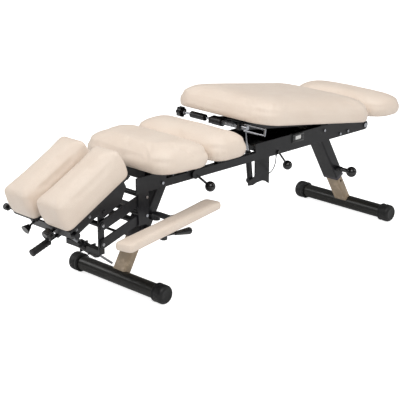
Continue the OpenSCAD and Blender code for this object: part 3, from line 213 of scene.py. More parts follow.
def moulded(name, color, smear, rough):
    """Glossy moulded plastic with finger smears and hairline scratches."""
    n = Nodes(name)
    smears = n.span(n.noise(38, 4), 0.45, 0.75, 0, 1)
    base = n.mix(n.math("MULTIPLY", smears, 0.5), color, smear)
    gloss = n.span(n.noise(70, 5, 0.7), 0.35, 0.7, *rough)
    lines = n.bump(n.noise(500, 3, stretch=(0.06, 1, 1)), 0.08, 0.0003)
    return n.finish(base, gloss, lines, **{"Coat Weight": 0.25, "Coat Roughness": 0.12})


def metal(name, color, tint, rough, lines=0.10):
    """Plated metal with faint spots and drawn lines."""
    n = Nodes(name)
    spots = n.span(n.noise(120, 5, 0.7), 0.4, 0.75, 0, 1)
    base = n.mix(spots, color, tint)
    gloss = n.span(n.noise(60, 4), 0.3, 0.7, *rough)
    drawn = n.bump(n.noise(700, 2, stretch=(1, 0.05, 1)), lines, 0.0002)
    return n.finish(base, gloss, drawn, metallic=1.0)


VINYL = vinyl("cream_vinyl", srgb(232, 217, 202), srgb(226, 209, 193))
COAT = powder_coat("black_powder_coat", srgb(23, 23, 26), srgb(29, 29, 32))
TAN = powder_coat("tan_powder_coat", srgb(156, 138, 116), srgb(164, 147, 125), (0.26, 0.36), 0.15)
BROWN_BLACK = powder_coat("brown_black_coat", srgb(22, 21, 18), srgb(28, 27, 23),
                          (0.28, 0.36), 0.12)
RUBBER = rubber("black_rubber", srgb(15, 15, 16), srgb(26, 26, 26))
BALL = moulded("black_phenolic", srgb(17, 17, 18), srgb(34, 34, 36), (0.12, 0.26))
NYLON = moulded("dark_nylon", srgb(44, 40, 48), srgb(60, 56, 64), (0.38, 0.52))
CHROME = metal("polished_chrome", srgb(168, 170, 175), srgb(140, 142, 148), (0.07, 0.16))
ZINC = metal("zinc_plate", srgb(186, 187, 190), srgb(150, 151, 155), (0.22, 0.36), 0.2)
LABEL = moulded("bare_label", srgb(252, 252, 250), srgb(244, 244, 241), (0.25, 0.35))
LINING = rubber("black_lining", srgb(34, 33, 33), srgb(46, 45, 45))

# The CAD nodes' materials, by the record's slots
BY_SLOT = {"cushion": VINYL, "frame": COAT, "leg": TAN, "foot": BROWN_BLACK, "rubber": RUBBER,
           "knob": BALL, "bushing": NYLON, "chrome": CHROME, "label": LABEL}
SLOT_OF = {s["node"]: s["material_slot"] for s in frame["record"]["subparts"]}
for node_name, node_object in frame["nodes"].items():
    node_object.data.materials.clear()
    node_object.data.materials.append(BY_SLOT[SLOT_OF[node_name]])


# Mesh helpers
SHARP_FROM = 40             # degrees between two faces


def mesh_piece(name, points, faces, material, body):
    """A mesh object that rides on a body and takes its finish from a slot."""
    mesh = bpy.data.meshes.new(name)
    mesh.from_pydata([tuple(p) for p in points], [], faces)
    mesh.materials.append(material)
    mesh.validate()
    mesh.update()
    piece = bpy.data.objects.new(name, mesh)
    scene.collection.objects.link(piece)
    shade_smooth(piece)
    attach(piece, body)
    return piece


def shade_smooth(piece):
    """Smooth shading, but for edges that are sharper than SHARP_FROM."""
    for p in piece.data.polygons:
        p.use_smooth = True
    with bpy.context.temp_override(object=piece, active_object=piece, selected_objects=[piece],
                                   selected_editable_objects=[piece]):
        bpy.ops.object.shade_smooth_by_angle(angle=math.radians(SHARP_FROM))


def joined(name, parts, material, body):
    """One mesh from several lists of points and faces."""
    points, faces = [], []
    for part_points, part_faces in parts:
        start = len(points)
        points += part_points
        faces += [tuple(start + i for i in f) for f in part_faces]
    return mesh_piece(name, points, faces, material, body)


def walls(rings, sides):
    """Faces between rings of points that have the same number of sides."""
    faces = []
    for i in range(rings - 1):
        for k in range(sides):
            a, b = i * sides + k, i * sides + (k + 1) % sides
            faces.append((a, b, b + sides, a + sides))
    return faces


def capped(rings, sides):
    """The walls, with a flat cap on the first and the last ring."""
    last = (rings - 1) * sides
    return walls(rings, sides) + [tuple(reversed(range(sides))), tuple(range(last, last + sides))]


def lathe(profile, foot, axis, sides, ripple=None):
    """A closed turned form: profile is (along, radius) pairs in mm from foot along axis."""
    axis = Vector(axis).normalized()
    u = axis.orthogonal().normalized()
    w = axis.cross(u)
    points = []
    for along, radius in profile:
        for k in range(sides):
            a = 2 * math.pi * k / sides
            r = radius * (ripple(along, a) if ripple else 1.0)
            points.append(foot + (axis * along + (u * math.cos(a) + w * math.sin(a)) * r) * MM)
    return points, capped(len(profile), sides)


def tube(path, radius, sides):
    """A closed round tube along points, with rings that don't twist."""
    points = []
    normal = None
    for i, p in enumerate(path):
        run = (path[min(i + 1, len(path) - 1)] - path[max(i - 1, 0)]).normalized()
        normal = run.orthogonal().normalized() if normal is None else \
            (normal - run * normal.dot(run)).normalized()
        side = run.cross(normal)
        for k in range(sides):
            a = 2 * math.pi * k / sides
            points.append(p + (normal * math.cos(a) + side * math.sin(a)) * radius)
    return points, capped(len(path), sides)


def spline(points, steps):
    """A smooth line through points."""
    p = [points[0]] + list(points) + [points[-1]]
    line = []
    for i in range(1, len(p) - 2):
        for k in range(steps):
            t = k / steps
            line.append(0.5 * ((2 * p[i]) + (p[i + 1] - p[i - 1]) * t
                               + (2 * p[i - 1] - 5 * p[i] + 4 * p[i + 1] - p[i + 2]) * t ** 2
                               + (3 * p[i] - p[i - 1] - 3 * p[i + 1] + p[i + 2]) * t ** 3))
    return line + [p[-2]]


def rounded_box(low, high, r):
    """A box with its edges rounded, from two corners in the CAD source's millimetres."""
    bm = bmesh.new()
    bmesh.ops.create_cube(bm, size=1)
    size = [b - a for a, b in zip(low, high)]
    for v in bm.verts:
        v.co = Vector([a + s * (c + 0.5) for a, s, c in zip(low, size, v.co)])
    bmesh.ops.bevel(bm, geom=bm.edges[:], offset=r, segments=2, affect="EDGES", profile=0.5)
    points = [at(*v.co) for v in bm.verts]
    faces = [tuple(v.index for v in f.verts) for f in bm.faces]
    bm.free()
    return points, faces


# Places in the CAD source, in its millimetres and degrees
HINGE = (636, 0, 399)
PELVIC_RAISE = 8.8
PELVIC_SEAT = 42            # underside of the pelvic cushion over the hinge
ROD_X, ROD_Z = -733, 9      # drop tension rod, from the hinge
RAIL_TOP = 410
BEAM_Z = 380
BEAM_Y = 111                # outer face of the beam's rails
CUSHION_Z = 462
COLUMN = (-604, 290)        # lower pivot of the lift arms on the column
ARM_LEN, ARM_DROP, ARM_GAP = 212, 17, 70        # length, slope, and height between the arms
TILT_RISE, HEAD_TILT = 53, 28                   # tilt pivot over the upper arm, and its angle
COUPLER_X = COLUMN[0] - ARM_LEN * math.cos(math.radians(ARM_DROP))
TILT_Z = COLUMN[1] - ARM_LEN * math.sin(math.radians(ARM_DROP)) + ARM_GAP + TILT_RISE
PAD_SEAT, PAD_Y = 77, 91.5  # underside and middle of a head pad, from the tilt pivot
REST_PIVOT = (-666, 262, 284)                   # where an armrest pad turns on its swing arm
REST_OUT, REST_YAW = (39, -6.4), 12.8           # the pad's middle from there, and its yaw
REST_TURN = {"near": 0, "far": 21.8}
REST_BOLT = 33              # how far the pad's bolt goes down from the pivot
SIDES = (("near", -1), ("far", 1))


def placed(x, y, z, turn_y=0.0, turn_z=0.0, ly=0.0, lz=0.0):
    """Where a piece's own frame stands: a pivot in mm, turns there, and an offset after them."""
    return (Matrix.Translation(at(x, y, z)) @ Matrix.Rotation(math.radians(turn_y), 4, "Y")
            @ Matrix.Rotation(math.radians(turn_z), 4, "Z")
            @ Matrix.Translation(Vector((0, ly, lz)) * MM))


def pelvic_point(x, y, z):
    """A point of the raised pelvic section, in mm from its hinge."""
    return placed(*HINGE, turn_y=PELVIC_RAISE) @ (Vector((x, y, z)) * MM)


def head_point(x, y, z):
    """A point of the tilted head section, in mm from its tilt pivot."""
    return placed(COUPLER_X, 0, TILT_Z, turn_y=-HEAD_TILT) @ (Vector((x, y, z)) * MM)


RAISE, TILT = math.radians(PELVIC_RAISE), math.radians(HEAD_TILT)
X, Y, Z = Vector((1, 0, 0)), Vector((0, 1, 0)), Vector((0, 0, 1))
PELVIC_X = Vector((math.cos(RAISE), 0, -math.sin(RAISE)))
PELVIC_Z = Vector((math.sin(RAISE), 0, math.cos(RAISE)))
HEAD_X = Vector((math.cos(TILT), 0, math.sin(TILT)))


# Release cable
CABLE_D = 4
CABLE_ROUTE = [(100, -96, -1), (103, -92, -11), (109, -86, -24), (117, -77, -40), (126, -66, -56),
               (134, -54, -72), (141, -41, -87), (146, -28, -100), (149, -16, -109),
               (149, -7, -114), (146, -3, -116), (142, -3, -116)]
cable_points = spline([at(x, y, BEAM_Z + z) for x, y, z in CABLE_ROUTE], 3)
cable_curve = bpy.data.curves.new("release_cable_sheath", "CURVE")
cable_curve.dimensions = "3D"
cable_curve.bevel_depth = CABLE_D / 2 * MM
cable_curve.bevel_resolution = 4
cable_curve.use_fill_caps = True
cable_line = cable_curve.splines.new("POLY")
cable_line.points.add(len(cable_points) - 1)
for spot, p in zip(cable_line.points, cable_points):
    spot.co = (*p, 1)
cable = bpy.data.objects.new("release_cable_sheath", cable_curve)
scene.collection.objects.link(cable)
cable_curve.materials.append(RUBBER)
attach(cable, "base")
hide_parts("release_cable")
ferrules = joined("release_cable_ferrules", [
    lathe([(0, 2.2), (0, 3.4), (9, 3.4), (12, 2.3)], cable_points[1],
          cable_points[3] - cable_points[1], 20),
    lathe([(0, 2.2), (0, 3.4), (6, 3.4), (8, 2.3)], cable_points[-1],
          cable_points[-3] - cable_points[-1], 20)], ZINC, "base")


# Cushions
# A ring of a pad's side: share of the side's height, share of the roll by which it stands inside
SIDE_RINGS = [(0, .50), (.08, .20), (.28, .03), (.52, 0), (.78, .16), (1, .55)]
# How far in from the roll's end the rings of the crown stand, as a share of the pad's half width
CROWN_SHARES = (.07, .15, .25, .37, .51, .66, .82)
RING_STEPS = 4
CORNER_STEPS = 12
PRESSURE = 4.0
SIM_FRAMES = 16
HEM_HOLD = 3.5              # the cover is held still below this height, in mm
# Bands round a pad's side: middle and width as shares of its height, and depth inward in mm
SHOULDER, BELLY = (0.80, 0.13, 26, 22), (0.45, 0.22, 16)
GATHERS, GATHER_TOP = 13, 0.75
HEM_AT, HEM_WIDE, HEM_DRAW = 6, 2.4, 1.3
PULL_MARKS = 0.9


def outline(x0, x1, w0, w1, r, inset):
    """A rounded four-sided line with its own half width at each end, some way inside."""
    rr = max(r - inset / 2, inset / 8 + 0.05)
    corners = [(x1 - inset - rr, w1 - inset - rr, 0), (x0 + inset + rr, w0 - inset - rr, 90),
               (x0 + inset + rr, -w0 + inset + rr, 180), (x1 - inset - rr, -w1 + inset + rr, 270)]
    line = []
    for cx, cy, start in corners:
        for i in range(CORNER_STEPS + 1):
            a = math.radians(start + 90 * i / CORNER_STEPS)
            line.append((cx + rr * math.cos(a), cy + rr * math.sin(a)))
    return line


def ring_spans(side, crown, roll, half, arch):
    """Rings of a pad from its foot to its crown: height and distance inside the outline."""
    rings = [Vector((share * side, inset * roll, 0)) for share, inset in SIDE_RINGS]
    start = rings[-1][1]
    for share in CROWN_SHARES:
        rings.append(Vector((side + crown * (1 - (1 - share) ** arch),
                             start + share * (half - start), 0)))
    return spline(rings, RING_STEPS)


def apply_modifier(piece, name):
    with bpy.context.temp_override(object=piece, active_object=piece, selected_objects=[piece]):
        bpy.ops.object.modifier_apply(modifier=name)


def coords(mesh):
    co = np.zeros(len(mesh.vertices) * 3)
    mesh.vertices.foreach_get("co", co)
    return co.reshape(-1, 3)


def put_coords(mesh, co):
    mesh.vertices.foreach_set("co", co.ravel())
    mesh.update()


def normals(mesh):
    n = np.zeros(len(mesh.vertices) * 3)
    mesh.vertices.foreach_get("normal", n)
    return n.reshape(-1, 3)


def inflate(piece, low, cap):
    """Swells the pad's cover with a cloth simulation, held along its hem."""
    mesh = piece.data
    before = coords(mesh)
    group = piece.vertex_groups.new(name="hem")
    for i in np.nonzero(before[:, 2] < low)[0]:
        group.add([int(i)], 1.0, "REPLACE")
    cloth = piece.modifiers.new("swell", "CLOTH")
    cloth.settings.quality = 4
    cloth.settings.mass = 0.4
    cloth.settings.tension_stiffness = 22
    cloth.settings.compression_stiffness = 22
    cloth.settings.bending_stiffness = 2.0
    cloth.settings.use_pressure = True
    cloth.settings.uniform_pressure_force = PRESSURE
    cloth.settings.vertex_group_mass = "hem"
    cloth.settings.effector_weights.gravity = 0
    cloth.point_cache.frame_start = 1
    cloth.point_cache.frame_end = SIM_FRAMES
    for f in range(1, SIM_FRAMES + 1):
        scene.frame_set(f)
    apply_modifier(piece, "swell")
    scene.frame_set(1)
    move = coords(mesh) - before
    far = np.linalg.norm(move, axis=1, keepdims=True)
    move *= np.minimum(1, cap / np.maximum(far, 1e-9))
    put_coords(mesh, before + move)


def edge_facts(co, x0, x1, w0, w1, r):
    """For pad points: distance inside the outline, how much of a corner each is at, and its turn."""
    half = w0 + (w1 - w0) * np.clip((co[:, 0] - x0) / (x1 - x0), 0, 1)
    dx = np.minimum(co[:, 0] - x0, x1 - co[:, 0])
    dy = half - np.abs(co[:, 1])
    ax, ay = np.clip(r - dx, 0, None), np.clip(r - dy, 0, None)
    inside = np.where((ax > 0) & (ay > 0), r - np.hypot(ax, ay), np.minimum(dx, dy))
    turn = np.degrees(np.arctan2(ay, ax))
    cornered = np.where((ax > 0) & (ay > 0), np.sin(np.radians(2 * turn)), 0)
    return inside, cornered, turn


def wave(co, scale, seed):
    """Slow noise at each point, between about -1 and 1."""
    return np.array([noise.noise(Vector((p[0] * scale, p[1] * scale, p[2] * scale + seed)))
                     for p in co])


def cover(name, span, half_widths, corner, side, crown, roll, arch, shrink, lean):
    """A pad's cover before it swells, lofted over rings, with a point in the middle of each end."""
    (x0, x1), (w0, w1) = span, half_widths
    half = min((x1 - x0) / 2, w0, w1) - shrink
    peak = crown - shrink / 2
    points, rings = [], ring_spans(side, peak, roll, half, arch)
    for z, inset, _ in rings:
        line = outline(x0 + shrink, x1 - shrink - lean * max(0, 1 - z / side), w0 - shrink,
                       w1 - shrink, corner, inset)
        points += [Vector((px, py, z)) for px, py in line]
    count = len(line)
    points += [Vector(((x0 + x1) / 2, 0, 0)), Vector(((x0 + x1) / 2, 0, side + peak))]
    bottom, top, last = len(points) - 2, len(points) - 1, (len(rings) - 1) * count
    faces = walls(len(rings), count)
    faces += [(bottom, (i + 1) % count, i) for i in range(count)]
    faces += [(top, last + i, last + (i + 1) % count) for i in range(count)]
    mesh = bpy.data.meshes.new(name)
    mesh.from_pydata([p * MM for p in points], [], faces)
    mesh.update()
    piece = bpy.data.objects.new(name, mesh)
    scene.collection.objects.link(piece)
    return piece


def upholster(mesh, shape, side, dent, pleat, seed):
    """Dents, gathers, pull marks and a hem in the swollen cover."""
    co, n = coords(mesh) / MM, normals(mesh)
    inside, cornered, turn = edge_facts(co, *shape)
    high = co[:, 2] / side
    slow = wave(co, 1 / 95, seed)
    # shoulder dent round the corners, where the cover is pulled over the foam's upper edge
    middle, wide, deep, fade = SHOULDER
    ring = np.exp(-((high - middle - 0.10 * slow) / wide) ** 2)
    along = np.clip(0.30 + 0.70 * cornered + 0.45 * slow, 0, 1.15)
    move = -dent * ring * along * np.clip(1 - (inside - deep) / fade, 0, 1)
    # fullness under it
    middle, wide, deep = BELLY
    belly = np.exp(-((high - middle) / wide) ** 2) * np.clip(1 - inside / deep, 0, 1)
    move += 0.55 * dent * belly * (0.35 + 0.65 * cornered)
    # gathers at the corners, which die out upwards
    fold = np.cos(np.radians(turn) * GATHERS + 2.2 * slow)
    fade_up = np.clip(1.0 - high / GATHER_TOP, 0, 1) * np.clip(1 - inside / 20, 0, 1)
    move += pleat * fold * cornered * fade_up
    # long soft pull marks on the top
    top_share = np.clip((n[:, 2] - 0.5) * 2, 0, 1)
    move += PULL_MARKS * top_share * wave(co * np.array([1, 2.2, 1]), 1 / 120, seed + 7)
    co += n * (move * (co[:, 2] > 2.0))[:, None]
    co[:, 2] = np.maximum(co[:, 2], 0)
    # hem: a fine drawn-in line just over the board
    hem = np.exp(-((co[:, 2] - HEM_AT) / HEM_WIDE) ** 2) * np.clip(1 - inside / 14, 0, 1)
    co -= n * np.array([1, 1, 0]) * (HEM_DRAW * hem)[:, None]
    put_coords(mesh, co * MM)


def pad(name, node, body, place, span, half_widths, corner, side, crown, roll, arch, dent, seed,
        voxel=6.0, shrink=2.5, cap=6.0, lean=0.0, pleat=1.1):
    """A stuffed pad: lofted cover, swollen by simulation, then dented and pleated as upholstery.

    Lengths are in mm. shrink is how much smaller the cover starts, cap the most that a point
    swells, and lean how far the pad's high x end stands out over its own foot.
    """
    piece = cover(name, span, half_widths, corner, side, crown, roll, arch, shrink, lean)
    remesh = piece.modifiers.new("even", "REMESH")
    remesh.mode = "VOXEL"
    remesh.voxel_size = voxel * MM
    apply_modifier(piece, "even")
    inflate(piece, HEM_HOLD * MM, cap * MM)
    mesh = piece.data
    upholster(mesh, (*span, *half_widths, corner), side, dent, pleat, seed)
    soften = piece.modifiers.new("soften", "SMOOTH")
    soften.factor, soften.iterations = 0.5, 3
    apply_modifier(piece, "soften")
    co = coords(mesh)
    co[:, 2] = np.maximum(co[:, 2], 0.05 * MM)
    put_coords(mesh, co)
    piece.modifiers.new("fine", "SUBSURF").levels = 1
    piece.modifiers["fine"].render_levels = 1
    mesh.transform(place)
    mesh.materials.append(VINYL)
    for p in mesh.polygons:
        p.use_smooth = True
    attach(piece, body)
    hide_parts(node)
    return piece


pad("pelvic_pad", "pelvic_cushion", "pelvic_top",
    placed(*HINGE, turn_y=PELVIC_RAISE, lz=PELVIC_SEAT), (-801, -116), (267, 267),
    corner=98, side=61, crown=31, roll=18, arch=5.0, seed=3.1, voxel=7.0, dent=4.6)
pad("foot_pad", "foot_cushion", "foot", placed(0, 0, CUSHION_Z), (548, 744), (247, 247),
    corner=80, side=56, crown=22, roll=15, arch=3.4, seed=9.4, dent=2.6)
pad("thoracic_pad", "thoracic_cushion", "thoracic", placed(0, 0, CUSHION_Z), (-637, -379),
    (231, 240), corner=74, side=63, crown=27, roll=16, arch=3.8, seed=5.2, dent=4.6)
pad("lumbar_pad", "lumbar_cushion", "base", placed(0, 0, CUSHION_Z), (-377, -186), (240, 240),
    corner=62, side=63, crown=27, roll=16, arch=3.2, seed=6.6, dent=3.4)
for word, sign in SIDES:
    pad(word + "_head_pad_cover", word + "_head_pad", word + "_pad",
        placed(COUPLER_X, 0, TILT_Z, turn_y=-HEAD_TILT, ly=sign * PAD_Y, lz=PAD_SEAT),
        (-187, 145), (72.5, 72.5), corner=22, side=98, crown=17, roll=11, arch=4.6,
        seed=2.3 * sign, voxel=5.0, shrink=1.8, cap=4.0, lean=7, dent=1.8, pleat=0.7)
    turn = math.radians(REST_TURN[word])
    out_x, out_y = REST_OUT[0], REST_OUT[1] * sign
    pad(word + "_armrest_pad", word + "_armrest", word + "_rest",
        placed(REST_PIVOT[0] + out_x * math.cos(turn) - out_y * math.sin(turn),
               REST_PIVOT[1] * sign + out_x * math.sin(turn) + out_y * math.cos(turn),
               REST_PIVOT[2], turn_z=-REST_YAW * sign + math.degrees(turn)),
        (-289, 289), (38.5, 38.5), corner=17, side=25, crown=5, roll=4, arch=3.4,
        seed=4.7 * sign, voxel=3.6, shrink=0.8, cap=1.6, dent=0.5, pleat=0.3)
    bolt_foot = at(REST_PIVOT[0], REST_PIVOT[1] * sign, REST_PIVOT[2] - REST_BOLT)
    joined(word + "_armrest_bolt",
           [lathe([(0, 4.4), (0.8, 5), (REST_BOLT + 1, 5)], bolt_foot, Z, 24)],
           ZINC, word + "_rest")


# Coil springs
COIL_STEPS = 20             # points for each turn


def coil(foot, along, across, up, d, wire, turns, length):
    """A coil that starts at foot and runs along, in the CAD source's own phase."""
    r, pitch = (d - wire) / 2, (length - wire) / turns
    line = []
    for i in range(turns * COIL_STEPS + 1):
        a = 2 * math.pi * i / COIL_STEPS
        line.append(foot + (along * (wire / 2 + pitch * i / COIL_STEPS) + across * r * math.cos(a)
                            + up * r * math.sin(a)) * MM)
    return tube(line, wire / 2 * MM, 10)


COIL_FROM, COIL_TO = -69.95, 18.4
spring = joined("drop_coil", [coil(pelvic_point(ROD_X, COIL_FROM, ROD_Z), Y, PELVIC_X, PELVIC_Z,
                                   d=21, wire=2.6, turns=13, length=COIL_TO - COIL_FROM)],
                CHROME, "pelvic")
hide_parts("drop_spring")
CATCH_X, CATCH_LEN, CATCH_Y, CATCH_RISE = -468, 66, -99, 10
PEG_PROFILE = [(0, 2.5), (7.2, 2.5), (7.9, 1.9), (12.1, 1.9), (12.8, 2.5), (17.4, 2.5), (18, 1.9)]
PEG_Y = CATCH_Y - 5.5
PEG_XS = (-470.55, -399.45)
pegs = [lathe(PEG_PROFILE, at(x, PEG_Y, RAIL_TOP), Z, 20) for x in PEG_XS]
catch_coil = coil(at(CATCH_X, CATCH_Y, RAIL_TOP + CATCH_RISE), X, -Y, Z,
                  d=13, wire=2, turns=9, length=CATCH_LEN)
catch = joined("catch_coil", [catch_coil] + pegs, CHROME, "base")
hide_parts("catch_spring")


# Grips, knobs and caps
HANDLE = math.radians(18.4)     # how far below the level the handle points
handle_axis = Vector((-math.cos(HANDLE), 0, -math.sin(HANDLE)))
LOCK_EYE = (-126, 0, -18)   # the handle's eye, from the tilt pivot
HANDLE_LEN, GRIP_OVER, GRIP_LEN = 139.5, 6, 84
GRIP_RINGS, RING_PITCH = 4, 14
grip_start = head_point(*LOCK_EYE) + handle_axis * ((HANDLE_LEN + GRIP_OVER - GRIP_LEN) * MM)
grip_profile = [(0, 5), (0, 11), (1.5, 13.2), (5, 14), (9, 13.2), (12, 12.4)]
for k in range(GRIP_RINGS):
    ring_at = 16 + RING_PITCH * k
    grip_profile += [(ring_at, 12.9), (ring_at + 5, 13.4), (ring_at + 10, 12.5)]
grip_profile += [(71, 12.6), (76, 13.8), (80, 13.9), (83, 12.4), (GRIP_LEN, 9.5)]
grip = joined("foam_grip", [lathe(grip_profile, grip_start, handle_axis, 36)], RUBBER, "handle")
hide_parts("handle_grip")


KNURL_FADE = 1.5            # the length over which a flute runs out at each end, in mm


def knurl(count, depth, low, high):
    """Flutes round a turned form between two places along it."""
    def ripple(along, a):
        inside = max(0.0, min(1.0, (along - low) / KNURL_FADE, (high - along) / KNURL_FADE))
        return 1 - depth * inside * (0.5 - 0.5 * math.cos(count * a))
    return ripple


DIAL_PROFILE = [(20, 15.5), (20, 18.6), (22, 20.3), (23, 20.5), (26, 20.5), (32, 20.5), (38, 20.5),
                (43, 20.5), (45, 19.6), (46.6, 17.5), (47, 15), (46.2, 13), (46.2, 0.5)]
dial_foot = head_point(-158, -28, 37)
dial = joined("tension_dial", [
    lathe([(-8, 6), (19.9, 6)], dial_foot, -HEAD_X, 24),
    lathe(DIAL_PROFILE, dial_foot, -HEAD_X, 144, knurl(24, 0.07, 23, 44))],
    BALL, "head_dial")
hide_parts("head_tension_knob")
WIDTH_PROFILE = [(204, 8), (204, 11), (205.5, 12.4), (207, 12.8), (212, 12.8), (218, 12.8),
                 (222, 12.8), (224, 11.8), (225, 10.2), (224.2, 8), (224.2, 0.5)]
width_foot = head_point(-165, 0, 70.5)
width_knob = joined("width_hand_knob", [
    lathe([(158, 4), (204, 4)], width_foot, Y, 24),
    lathe(WIDTH_PROFILE, width_foot, Y, 144, knurl(16, 0.10, 207, 222))],
    BALL, "width_screw")
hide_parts("width_knob")

CAP_PROFILE = [(0, 29), (0.4, 31.5), (1.6, 34.2), (4, 36), (7, 36), (10, 35.2), (13, 34.2), (16, 34.2),
               (19, 35.2), (22, 36), (28, 36), (34, 36), (38, 36), (42, 35.2), (46, 33), (49.5, 29.5),
               (51.4, 25.5), (52, 22), (51.2, 20), (51.2, 0.5)]
FOOT_X, FOOT_END, CAP_OVER, FOOT_AXIS_Z = 650, 232.5, 26, 35.2
for word, sign, body in (("front", -1, "front_leg"), ("rear", 1, "rear_leg")):
    parts = []
    for side in (-1, 1):
        foot = at(sign * FOOT_X, side * (FOOT_END - CAP_OVER), FOOT_AXIS_Z)
        cap_points, cap_faces = lathe(CAP_PROFILE, foot, Vector((0, side, 0)), 96,
                                      knurl(16, 0.022, 19, 40))
        for p in cap_points:
            p.z = max(p.z, 0.0)
        parts.append((cap_points, cap_faces))
    caps = joined(word + "_rubber_caps", parts, RUBBER, body)
    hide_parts(word + "_foot_caps")


# Screws, label rim, rings and linings
def screw(foot, axis, d, h):
    """A socket button head on its washer: domed rim and a recessed socket."""
    r = d / 2
    head = lathe([(0, r), (h * 0.35, r), (h * 0.75, r * 0.86), (h, r * 0.62), (h, r * 0.40),
                  (h * 0.45, r * 0.36), (h * 0.45, 0.2)], foot, axis, 36)
    washer = lathe([(-0.1, r * 1.28), (0.9, r * 1.28), (1.1, r * 1.2), (1.1, r * 0.6)], foot, axis, 36)
    return [head, washer]


def screws(name, body, places, d, h):
    """Screw heads on both sides of the table, each facing outwards."""
    parts = []
    for p in places:
        parts += screw(p, Vector((0, -1 if p.y < 0 else 1, 0)), d, h)
    return joined(name, parts, ZINC, body)


HEAD_RAIL_Y, ARM_CAP_Y = 111.4, 102.9       # outer faces that the screws sit on
HEAD_RAIL_SCREWS = ((104, 40), (62, 40), (-60, 30), (-128, 30))
both = (-1, 1)
screws("head_rail_screws", "head",
       [head_point(x, s * HEAD_RAIL_Y, z) for s in both for x, z in HEAD_RAIL_SCREWS], 8, 3.4)
screws("coupler_screws", "coupler",
       [at(COUPLER_X, s * ARM_CAP_Y, TILT_Z - z) for s in both
        for z in (TILT_RISE, TILT_RISE + ARM_GAP)], 9, 3)

LABEL_X, LABEL_Z = 210, 427
RIM_OUT, RIM_IN = 3.4, 0.1  # the rim's two faces, outwards from the rail
RIM_BARS = (((-36, 8), (32, 17)), ((-36, -17), (32, -8)), ((-36, -8), (-17, 8)), ((17, -8), (32, 8)))
bezel = [rounded_box((LABEL_X + low[0], -BEAM_Y - RIM_OUT, LABEL_Z + low[1]),
                     (LABEL_X + high[0], -BEAM_Y + RIM_IN, LABEL_Z + high[1]), 0.7)
         for low, high in RIM_BARS]
joined("label_bezel", bezel, BALL, "base")

# A collar and two nuts on the far side of the drop tension rod: profile and number of sides
ROD_RINGS = (([(70.5, 5), (70.5, 13.5), (72, 14.2), (78, 14.2), (79.5, 13.5), (79.5, 5)], 36),
             ([(191.2, 4.6), (191.2, 8), (192, 8.6), (196, 8.6), (197, 8), (197, 4.6)], 6),
             ([(228, 4.6), (228, 8), (229, 8.6), (233, 8.6), (234, 8), (234, 4.6)], 6))
rod_middle = pelvic_point(ROD_X, 0, ROD_Z)
joined("tension_rings", [lathe(profile, rod_middle, Y, sides) for profile, sides in ROD_RINGS],
       ZINC, "cocking")

# Black lining under each body cushion, between its hem and its board
LINING_LOW, LINING_HIGH = -1.4, 0.4
LININGS = (("pelvic_lining", "pelvic_top", -756, -150, 196,
            placed(*HINGE, turn_y=PELVIC_RAISE, lz=PELVIC_SEAT)),
           ("thoracic_lining", "thoracic", -600, -400, 170, placed(0, 0, CUSHION_Z)),
           ("lumbar_lining", "base", -352, -206, 170, placed(0, 0, CUSHION_Z)),
           ("foot_lining", "foot", 570, 722, 190, placed(0, 0, CUSHION_Z)))
for name, body, x0, x1, half, place in LININGS:
    points, faces = rounded_box((x0, -half, LINING_LOW), (x1, half, LINING_HIGH), 0.6)
    points = [place @ (p - at(0, 0, 0)) for p in points]
    mesh_piece(name, points, faces, LINING, body)


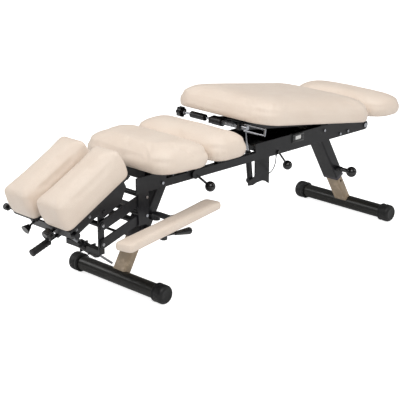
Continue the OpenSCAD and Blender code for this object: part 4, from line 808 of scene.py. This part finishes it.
# Floor and background
FLOOR_SIZE = 30
PAPER_LIFT = 0.8            # the photo's background is burnt out to white
floor_mesh = bpy.data.meshes.new("floor")
floor_mesh.from_pydata([(sx * FLOOR_SIZE, sy * FLOOR_SIZE, 0) for sx, sy in
                        ((-1, -1), (1, -1), (1, 1), (-1, 1))], [], [(0, 1, 2, 3)])
floor = bpy.data.objects.new("floor", floor_mesh)
scene.collection.objects.link(floor)
paper = bpy.data.materials.new("white_paper")
paper.use_nodes = True
paper_tree = paper.node_tree
paper_shader = paper_tree.nodes["Principled BSDF"]
paper_shader.inputs["Base Color"].default_value = (0.86, 0.86, 0.86, 1)
paper_shader.inputs["Roughness"].default_value = 1.0
paper_shader.inputs["Specular IOR Level"].default_value = 0.0
paper_shader.inputs["Emission Color"].default_value = (1, 1, 1, 1)
paths = paper_tree.nodes.new("ShaderNodeLightPath")
lift = paper_tree.nodes.new("ShaderNodeMath")
lift.operation = "MULTIPLY"
lift.inputs[1].default_value = PAPER_LIFT
paper_tree.links.new(paths.outputs["Is Camera Ray"], lift.inputs[0])
paper_tree.links.new(lift.outputs[0], paper_shader.inputs["Emission Strength"])
floor_mesh.materials.append(paper)

WORLD_DIFFUSE, WORLD_MIRRORED, WORLD_SEEN = 0.55, 0.22, 1.0
world = bpy.data.worlds.new("studio")
scene.world = world
world.use_nodes = True
tree = world.node_tree
background = tree.nodes["Background"]
background.inputs["Color"].default_value = (1, 1, 1, 1)
paths = tree.nodes.new("ShaderNodeLightPath")
level = None
for ray, strength in (("Is Glossy Ray", WORLD_MIRRORED), ("Is Camera Ray", WORLD_SEEN)):
    pick = tree.nodes.new("ShaderNodeMix")
    pick.inputs["A"].default_value = WORLD_DIFFUSE
    pick.inputs["B"].default_value = strength
    tree.links.new(paths.outputs[ray], pick.inputs["Factor"])
    if level:
        tree.links.new(level.outputs["Result"], pick.inputs["A"])
    level = pick
tree.links.new(level.outputs["Result"], background.inputs["Strength"])


# Lamps: where each stands and looks at in metres, its size and its power in watts
LAMPS = (("key", (-1.6, -2.6, 3.4), (0.1, 0, 0.4), (2.6, 1.8), 70),
         ("overhead", (0.4, 0.4, 3.6), (0.1, 0, 0.4), (3.2, 2.2), 38),
         ("rim", (-2.6, 2.6, 2.4), (-0.4, 0, 0.5), (2.0, 1.4), 32),
         ("foot_fill", (3.2, -2.4, 1.8), (0.2, 0, 0.4), (1.8, 1.8), 16))
for name, where, towards, size, power in LAMPS:
    data = bpy.data.lights.new(name, "AREA")
    data.shape = "RECTANGLE"
    data.size, data.size_y = size
    data.energy = power
    lamp = bpy.data.objects.new(name, data)
    scene.collection.objects.link(lamp)
    lamp.location = where
    lamp.rotation_mode = "QUATERNION"
    lamp.rotation_quaternion = (Vector(towards) - Vector(where)).to_track_quat("-Z", "Y")
    lamp.visible_camera = False
